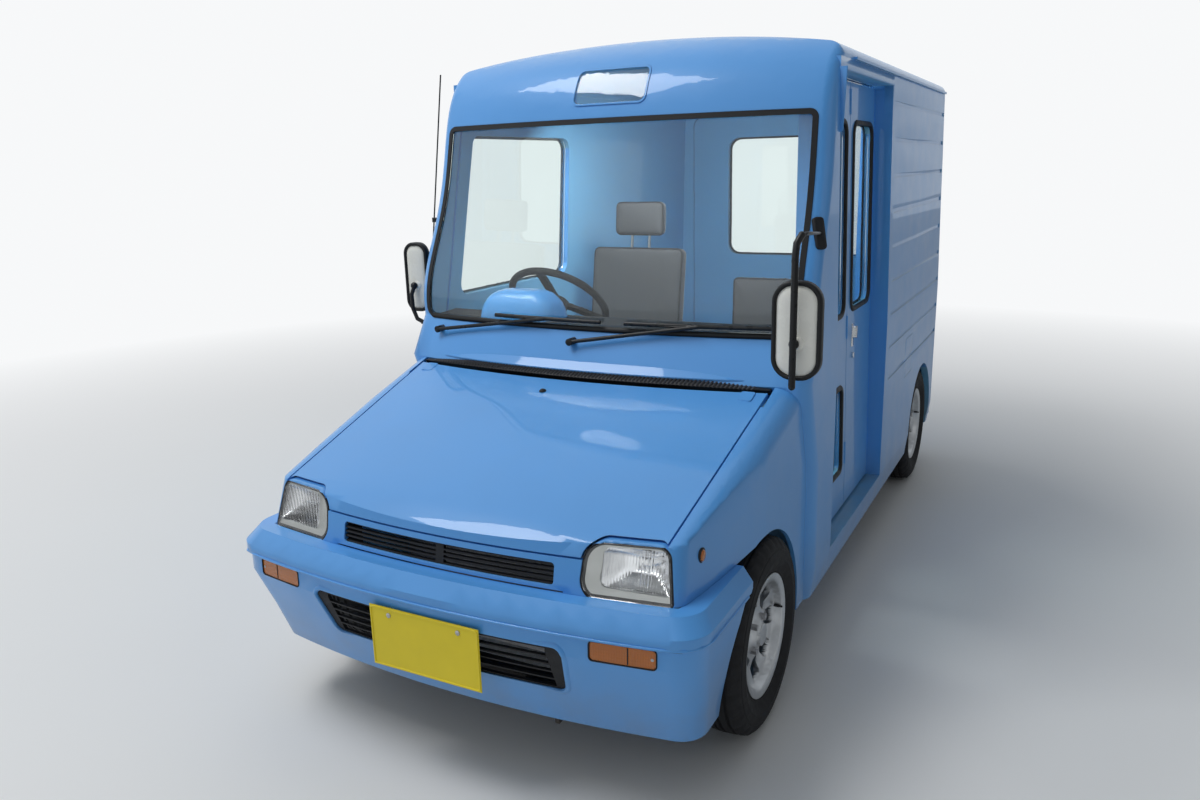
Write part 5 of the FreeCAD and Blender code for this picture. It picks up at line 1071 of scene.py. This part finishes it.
class AddMirrors(VanOperator, Operator):
    """Mirror heads with a cream back, black rim and silvered glass, and their arms."""

    bl_idname = "van.add_mirrors"
    bl_label = "Mirrors"

    def head(self, side):
        """Black rim, domed cream back, silvered glass, boss and screw of one mirror."""
        (x, y, z), half_w, half_h = MIRRORS[side]

        def loop(inset):
            return centred(half_w - inset, half_h - inset, half_w - 0.009 - inset * 0.9, 8)

        def place(u, v, proud):
            return (x + u, y - proud, z + v)

        t, rim = MIRROR_HALF_T, MIRROR_RIM
        section = [(0.0, -t + 0.003), (0.0, t - 0.005), (-0.0015, t - 0.0015), (-0.0045, t), (-rim + 0.003, t),
                   (-rim, t - 0.003), (-rim, -t + 0.003), (-rim + 0.002, -t), (-0.003, -t)]
        add_piece("mirror_rim_" + side, moulding(loop(0.0), section, place), "rubber_seal", angle=50.0)
        back, glass = (pad(loop, [(rim + inset, t + proud) for inset, proud in rise], place)
                       for rise in (SHELL_RISE, GLASS_RISE))
        shell = add_piece("mirror_shell_" + side, back, "mirror_shell", angle=40.0)
        add_piece("mirror_glass_" + side, glass, "silvered_glass", "chrome_trim", 40.0)
        for name, outline, steps, look, proud in KNOBS:
            mesh = put(turned(outline, steps), place(*KNOB_AT, t + proud), -90.0)
            add_piece(name + side, mesh, look, "mirror_shell", 40.0)
        return shell

    def foot(self, side):
        """The black plate that holds an arm to the corner post; gives where the arm starts."""
        skin, out = skin_finder("front_mask")(*ARM_FEET[side])
        up = (Vector((0, 0, 1)) - out * out.z).normalized()
        across = up.cross(out)
        half_w, half_h, corner = FOOT
        mesh = pad(lambda inset: centred(half_w - inset, half_h - inset, corner - inset * 0.9), FOOT_RISE,
                   lambda u, v, proud: skin + across * u + up * v + out * proud)
        add_piece("mirror_foot_" + side, mesh, "black_plastic", "black_tube", 40.0)
        return skin + out * 0.004

    def arm(self, side):
        """A thin rod from the foot, the arm's tube with its rounded ends, and the clamp that holds the head."""
        start = self.foot(side)
        bends, radius = ARM_RODS[side]
        add_piece("mirror_rod_" + side, swept([start] + bends, radius), "black_tube", angle=50.0)
        bends, radius = ARM_TUBES[side]
        bm = bmesh.new()
        bm.from_mesh(swept(bends, radius))
        clamp = [a + b for a, b in zip(MIRRORS[side][0], CLAMP)]
        for place, size in ((bends[0], radius), (bends[-1], radius), (clamp, CLAMP_R)):
            bmesh.ops.create_uvsphere(bm, u_segments=20, v_segments=12, radius=size,
                                      matrix=Matrix.Translation(place))
        add_piece("mirror_arm_" + side, mesh_of(bm), "black_tube", angle=50.0)

    def execute(self, context):
        shells = [self.head(side) for side in SIDES]
        for side in SIDES:
            self.arm(side)
        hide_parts("mirror_heads", "mirror_arms")
        return {"FINISHED"}


class DressFittings(VanOperator, Operator):
    """Wipers, antenna, handles and the rain strip at the doorway's top corner."""

    bl_idname = "van.dress_fittings"
    bl_label = "Outside fittings"

    def handle(self, name, place):
        """A recessed handle: its dished plate and the pull in it."""
        body, u, v, half_w, half_h = HANDLES[name]
        mesh = pad(lambda inset: centred(half_w - inset, half_h - inset, half_h - 0.004 - inset * 0.4,
                                         centre=(u, v)), HANDLE_RISE, place)
        add_piece(name, mesh, "black_plastic", angle=30.0, body=body)
        wide, down, up, corner = PULL
        loop = rectangle(u - half_w * wide, u + half_w * wide, v - half_h * down, v + half_h * up,
                         half_h * corner, 5)
        mesh = pad(lambda inset: loop, PULL_RISE, place)
        add_piece(name + "_pull", mesh, "black_tube", "black_plastic", 40.0, body)

    def execute(self, context):
        for node in ("wipers", "antenna", "leaf_handle"):
            dress(node, angle=40.0)
        self.handle("driver_handle", on_driver_door)
        self.handle("tailgate_handle", on_tailgate)
        y, foot, top, foot_out, top_out, thick = RAIN_STRIP
        rings = []
        for z, out in ((foot, foot_out * 0.3), (foot + 0.006, foot_out), (top, top_out)):
            x = side_skin(z)
            rings.append([(x - 0.004, y, z), (x + out - 0.002, y, z), (x + out, y + thick / 2, z),
                          (x + out - 0.002, y + thick, z), (x - 0.004, y + thick, z)])
        add_piece("rain_strip", body_of(rings), "body_paint", angle=30.0)
        return {"FINISHED"}


class AddTyres(VanOperator, Operator):
    """Tyres with grooved treads, notched shoulders and ringed sidewalls."""

    bl_idname = "van.add_tyres"
    bl_label = "Tyres"

    def tyre(self):
        depth = sizes().tread_depth
        half = SIDEWALL + [(x, r - depth * (i in GROOVED)) for i, (x, r) in enumerate(TREAD)]
        bm = turned(half + [(-x, r) for x, r in reversed(half)] + TYRE_INSIDE, TYRE_STEPS, True)
        for vertex in bm.verts:
            radius = math.hypot(vertex.co.y, vertex.co.z)
            step = round(math.atan2(vertex.co.y, vertex.co.z) / (2 * math.pi) * TYRE_STEPS) % 6
            if round(abs(vertex.co.x), 5) in NOTCHED_X and radius >= NOTCHED_R and step in NOTCH_STEPS:
                vertex.co.y *= 1 - NOTCH_DEPTH / radius
                vertex.co.z *= 1 - NOTCH_DEPTH / radius
        return bm

    def execute(self, context):
        for wheel, (sign, axle_y) in WHEELS.items():
            mesh = put(self.tyre(), (sign * WHEEL_X, axle_y, TYRE_R))
            obj = add_piece("tyre_%s_dressed" % wheel, mesh, "tyre_rubber", angle=28.0, body="wheel_" + wheel)
            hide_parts("tyre_" + wheel)
        return {"FINISHED"}


class AddWheels(VanOperator, Operator):
    """Cast wheels with their nuts and valves."""

    bl_idname = "van.add_wheels"
    bl_label = "Wheels"

    def nut(self, tree, inputs):
        shape = new_node(tree, "GeometryNodeMeshCylinder",
                         {"Vertices": 6, "Radius": inputs["Radius"], "Depth": NUT_L})
        return {"Instance": shape.outputs["Mesh"], "Rotation": (0.0, math.pi / 2, 0.0)}

    def execute(self, context):
        circle, count = sizes().nut_circle, sizes().nut_count
        angles = [2 * math.pi * (i + 0.5) / count for i in range(count)]
        points = [(0.0, circle * math.sin(a), circle * math.cos(a)) for a in angles]
        out, back, up = VALVE
        for wheel, (sign, axle_y) in WHEELS.items():
            dress("rim_" + wheel, angle=28.0)
            mesh = repeated("nuts_" + wheel, points, self.nut, {"Radius": NUT_R}, "steel")
            mesh.transform(Matrix.Translation((sign * (WHEEL_X + NUT_OUT), axle_y, TYRE_R)))
            add_piece("nuts_" + wheel, mesh, None, "cast_alloy", 30.0, "wheel_" + wheel)
            place = (sign * (WHEEL_X + out), axle_y + back, TYRE_R + up)
            mesh = put(turned(VALVE_OUTLINE, 12), place, 90.0 - 90.0 * sign)
            add_piece("valve_" + wheel, mesh, "rubber_seal", body="wheel_" + wheel)
        return {"FINISHED"}


class AddSeats(VanOperator, Operator):
    """Driver's and folding seats, filled like real cushions."""

    bl_idname = "van.add_seats"
    bl_label = "Seats"

    def block(self, half, corner):
        """A closed rounded block round the origin, divided into fine cells."""
        bm = bmesh.new()
        bmesh.ops.create_cube(bm, size=2.0)
        bmesh.ops.scale(bm, verts=bm.verts, vec=half)
        bmesh.ops.bevel(bm, geom=bm.edges[:], offset=corner, segments=3, profile=0.5, affect="EDGES")
        obj = in_scene("cushion", mesh_of(bm))
        remesh = obj.modifiers.new("cells", "REMESH")
        remesh.mode = "VOXEL"
        remesh.voxel_size = CELL
        obj.data = final_mesh(obj, keep=True)
        return obj

    def fill(self, obj):
        """Let the block's cloth swell under pressure, but no further than the most it may."""
        start = [v.co.copy() for v in obj.data.vertices]
        cloth = obj.modifiers.new("filling", "CLOTH")
        cloth.settings.vertex_group_mass = "seams"
        cloth.settings.use_pressure = True
        cloth.settings.uniform_pressure_force = PRESSURE
        cloth.settings.effector_weights.gravity = 0.0
        cloth.point_cache.frame_start, cloth.point_cache.frame_end = 1, FRAMES
        for step in range(1, FRAMES + 1):
            bpy.context.scene.frame_set(step)
        obj.data = final_mesh(obj, keep=True)
        most = sizes().seat_swell
        for vertex, home in zip(obj.data.vertices, start):
            moved = vertex.co - home
            if moved.length > most:
                vertex.co = home + moved.normalized() * most

    def cushion(self, name, node, half, corner, centre, tilt, seams):
        """One cushion, held at its sides and seams, with piping round its upper edge."""
        obj = self.block(half, corner)
        held = [v.index for v in obj.data.vertices
                if any(abs(v.co[i]) > half[i] - corner * HELD_SHARE for i in (0, 1))
                or any(abs(v.co.x - at) < SEAM_HALF and v.co.z > 0 for at in seams)]
        obj.vertex_groups.new(name="seams").add(held, 1.0, "REPLACE")
        self.fill(obj)
        smooth = obj.modifiers.new("smooth", "SUBSURF")
        smooth.levels = smooth.render_levels = 1
        mesh = final_mesh(obj)
        place = Matrix.Translation(centre) @ Matrix.Rotation(math.radians(tilt), 4, "X")
        mesh.transform(place)
        obj = add_piece(name, mesh, "seat_fabric", angle=80.0, body=BODY_OF[node])
        loop = centred(half[0] - PIPING_IN, half[1] - PIPING_IN, corner)
        points = [place @ Vector((u, v, half[2] - corner * PIPING_DOWN)) for u, v in loop]
        piping = swept(points, sizes().piping_radius, True)
        add_piece(name + "_piping", piping, "piping", "seat_fabric", 60.0, BODY_OF[node])
        return obj

    def seat(self, node):
        """A seat's cushions; its node is hidden."""
        made = [self.cushion(*row) for row in CUSHIONS if row[1] == node]
        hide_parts(node)

    def execute(self, context):
        self.seat("driver_seat")
        for name, x in POSTS_X.items():
            add_piece(name, swept([(x, y, z) for y, z in POST_BENDS], POST_R), "steel", "chrome_trim", 60.0)
        self.seat("jump_seat")
        return {"FINISHED"}


class DressCabin(VanOperator, Operator):
    """Dash with its painted hood, steering wheel and column, and seat bases."""

    bl_idname = "van.dress_cabin"
    bl_label = "Cabin"

    def sunk(self, co):
        """The dash's own block under the hood, pressed down out of sight."""
        x0, x1, y0, top = HOOD_SUNK
        return Vector((co.x, co.y, min(co.z, top))) if x0 < co.x < x1 and co.y > y0 else co

    def execute(self, context):
        dress("dashboard", moved=self.sunk)
        x, y, half_x, half_y, corner = HOOD
        mesh = pad(lambda inset: centred(half_x - inset, half_y - inset * 0.65, corner - inset * 0.45, 8, (x, y)),
                   HOOD_RISE, lambda u, v, z: (u, v, z))
        add_piece("binnacle_hood", mesh, "body_paint", angle=60.0)
        dress("steering_wheel", angle=45.0)
        for node in ("steering_column", "seat_bases"):
            dress(node)
        return {"FINISHED"}


class DressUnderside(VanOperator, Operator):
    """Floor, engine bay, running gear and exhaust."""

    bl_idname = "van.dress_underside"
    bl_label = "Underside"

    def execute(self, context):
        dress("floor_pan", inner="inner_paint", region=lambda c, n: n.z > 0.7)
        dress("front_members", look="chassis_black")
        for node in UNDERSIDE:
            dress(node)
        return {"FINISHED"}


class BuildStage(VanOperator, Operator):
    """Floor, backdrop light, lamps and camera."""

    bl_idname = "van.build_stage"
    bl_label = "Stage"

    def lamp(self, name, place, target, size, power):
        data = bpy.data.lights.new(name, "AREA")
        data.shape = "RECTANGLE"
        data.size, data.size_y = size
        data.energy = power
        obj = in_scene(name, data)
        obj.location = place
        obj.rotation_euler = (Vector(target) - Vector(place)).to_track_quat("-Z", "Y").to_euler()
        return obj

    def seen(self, tree):
        """One for the rays of the camera and of glass, else nought."""
        path = tree.nodes.new("ShaderNodeLightPath")
        return calculated(tree, "MAXIMUM", path.outputs["Is Camera Ray"], path.outputs["Is Transmission Ray"])

    def floor(self, colour):
        """A wide floor that further out turns into the pale ground that those rays see."""
        bm = bmesh.new()
        bmesh.ops.create_grid(bm, x_segments=1, y_segments=1, size=FLOOR_HALF)
        ground, tree, shader = material("floor", colour, 0.01, 0.7, (0.75, 0.85))
        reach = new_node(tree, "ShaderNodeVectorMath", {0: coordinates(tree)}, operation="LENGTH")
        far = ranged(tree, reach.outputs["Value"], *FLOOR_FADE, 0.0, 1.0)
        pale = new_node(tree, "ShaderNodeEmission", {"Color": PALE, "Strength": 1.0})
        mixed_surface(tree, "Material Output", multiplied(tree, far, self.seen(tree)), shader.outputs["BSDF"],
                      pale.outputs["Emission"])
        obj = in_scene("floor", mesh_of(bm))
        obj.data.materials.append(ground)

    def world(self):
        """Light from all round, less of it from the kerb side; what mirrors it sees it brighter."""
        world = bpy.data.worlds.new("studio")
        world.use_nodes = True
        tree = world.node_tree
        way = tree.nodes.new("ShaderNodeTexCoord").outputs["Generated"]
        path = tree.nodes.new("ShaderNodeLightPath")
        level = ranged(tree, path.outputs["Is Glossy Ray"], 0.0, 1.0, *AROUND)
        shade = ranged(tree, axis(tree, "X", way), 0.0, 0.45, 1.0, KERB_SHADE)
        lit = tree.nodes["Background"]
        fill_inputs(tree, lit, {"Color": AROUND_COLOUR, "Strength": multiplied(tree, level, shade)})
        pale = new_node(tree, "ShaderNodeBackground", {"Color": PALE, "Strength": 1.0})
        mixed_surface(tree, "World Output", self.seen(tree), lit.outputs["Background"],
                      pale.outputs["Background"])
        return world

    def camera(self, stage):
        """A camera at the photo's place, turned by azimuth, drop and roll."""
        view = Vector((-math.sin(stage.azimuth) * math.cos(stage.drop),
                       math.cos(stage.azimuth) * math.cos(stage.drop), -math.sin(stage.drop)))
        right = view.cross(Vector((0, 0, 1))).normalized()
        up = right.cross(view)
        cos, sin = math.cos(stage.roll), math.sin(stage.roll)
        right, up = right * cos + up * sin, up * cos - right * sin
        data = bpy.data.cameras.new("photo_camera")
        data.sensor_width = SENSOR
        data.lens = stage.lens
        obj = in_scene("photo_camera", data)
        turn = Matrix((right, up, -view)).transposed().to_4x4()
        obj.matrix_world = Matrix.Translation(stage.eye) @ turn
        return obj

    def execute(self, context):
        stage = context.scene.van_stage
        self.floor(stage.floor_colour)
        context.scene.world = self.world()
        self.lamp("key_lamp", *KEY_LAMP, stage.key_power)
        self.lamp("fill_lamp", *FILL_LAMP, stage.fill_power)
        unseen = self.lamp("cabin_lamp", *CABIN_LAMP, stage.cabin_power)
        unseen.visible_camera = unseen.visible_glossy = unseen.visible_transmission = False
        context.scene.camera = self.camera(stage)
        context.scene.view_settings.view_transform = "Standard"
        return {"FINISHED"}


OPERATORS = [DressPanels, DressGlazing, AddRubbers, AddCowl, AddBonnetFittings, DressGrilles, AddHeadlamps,
             DressSignalLamps, AddPlates, AddMirrors, DressFittings, AddTyres, AddWheels, AddSeats, DressCabin,
             DressUnderside, BuildStage]
SETTINGS = {"van_colours": VanColours, "van_sizes": VanSizes, "van_stage": VanStage}


class VanPanel(Panel):
    """Lists the van's pieces in the sidebar."""

    bl_idname = "VIEW3D_PT_van"
    bl_label = "Delivery van"
    bl_space_type = "VIEW_3D"
    bl_region_type = "UI"
    bl_category = "Van"

    def draw(self, context):
        for operator in OPERATORS:
            self.layout.operator(operator.bl_idname)
        for name in SETTINGS:
            group = getattr(context.scene, name)
            for key in group.bl_rna.properties.keys():
                if key not in ("rna_type", "name"):
                    self.layout.prop(group, key)


def register():
    for name, group in SETTINGS.items():
        bpy.utils.register_class(group)
        setattr(bpy.types.Scene, name, PointerProperty(type=group))
    for cls in OPERATORS + [VanPanel]:
        bpy.utils.register_class(cls)


def unregister():
    for cls in reversed(OPERATORS + [VanPanel]):
        bpy.utils.unregister_class(cls)
    for name, group in SETTINGS.items():
        delattr(bpy.types.Scene, name)
        bpy.utils.unregister_class(group)


def main():
    register()
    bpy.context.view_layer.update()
    for operator in OPERATORS:
        area, action = operator.bl_idname.split(".")
        getattr(getattr(bpy.ops, area), action)()


if __name__ == "__main__":
    main()
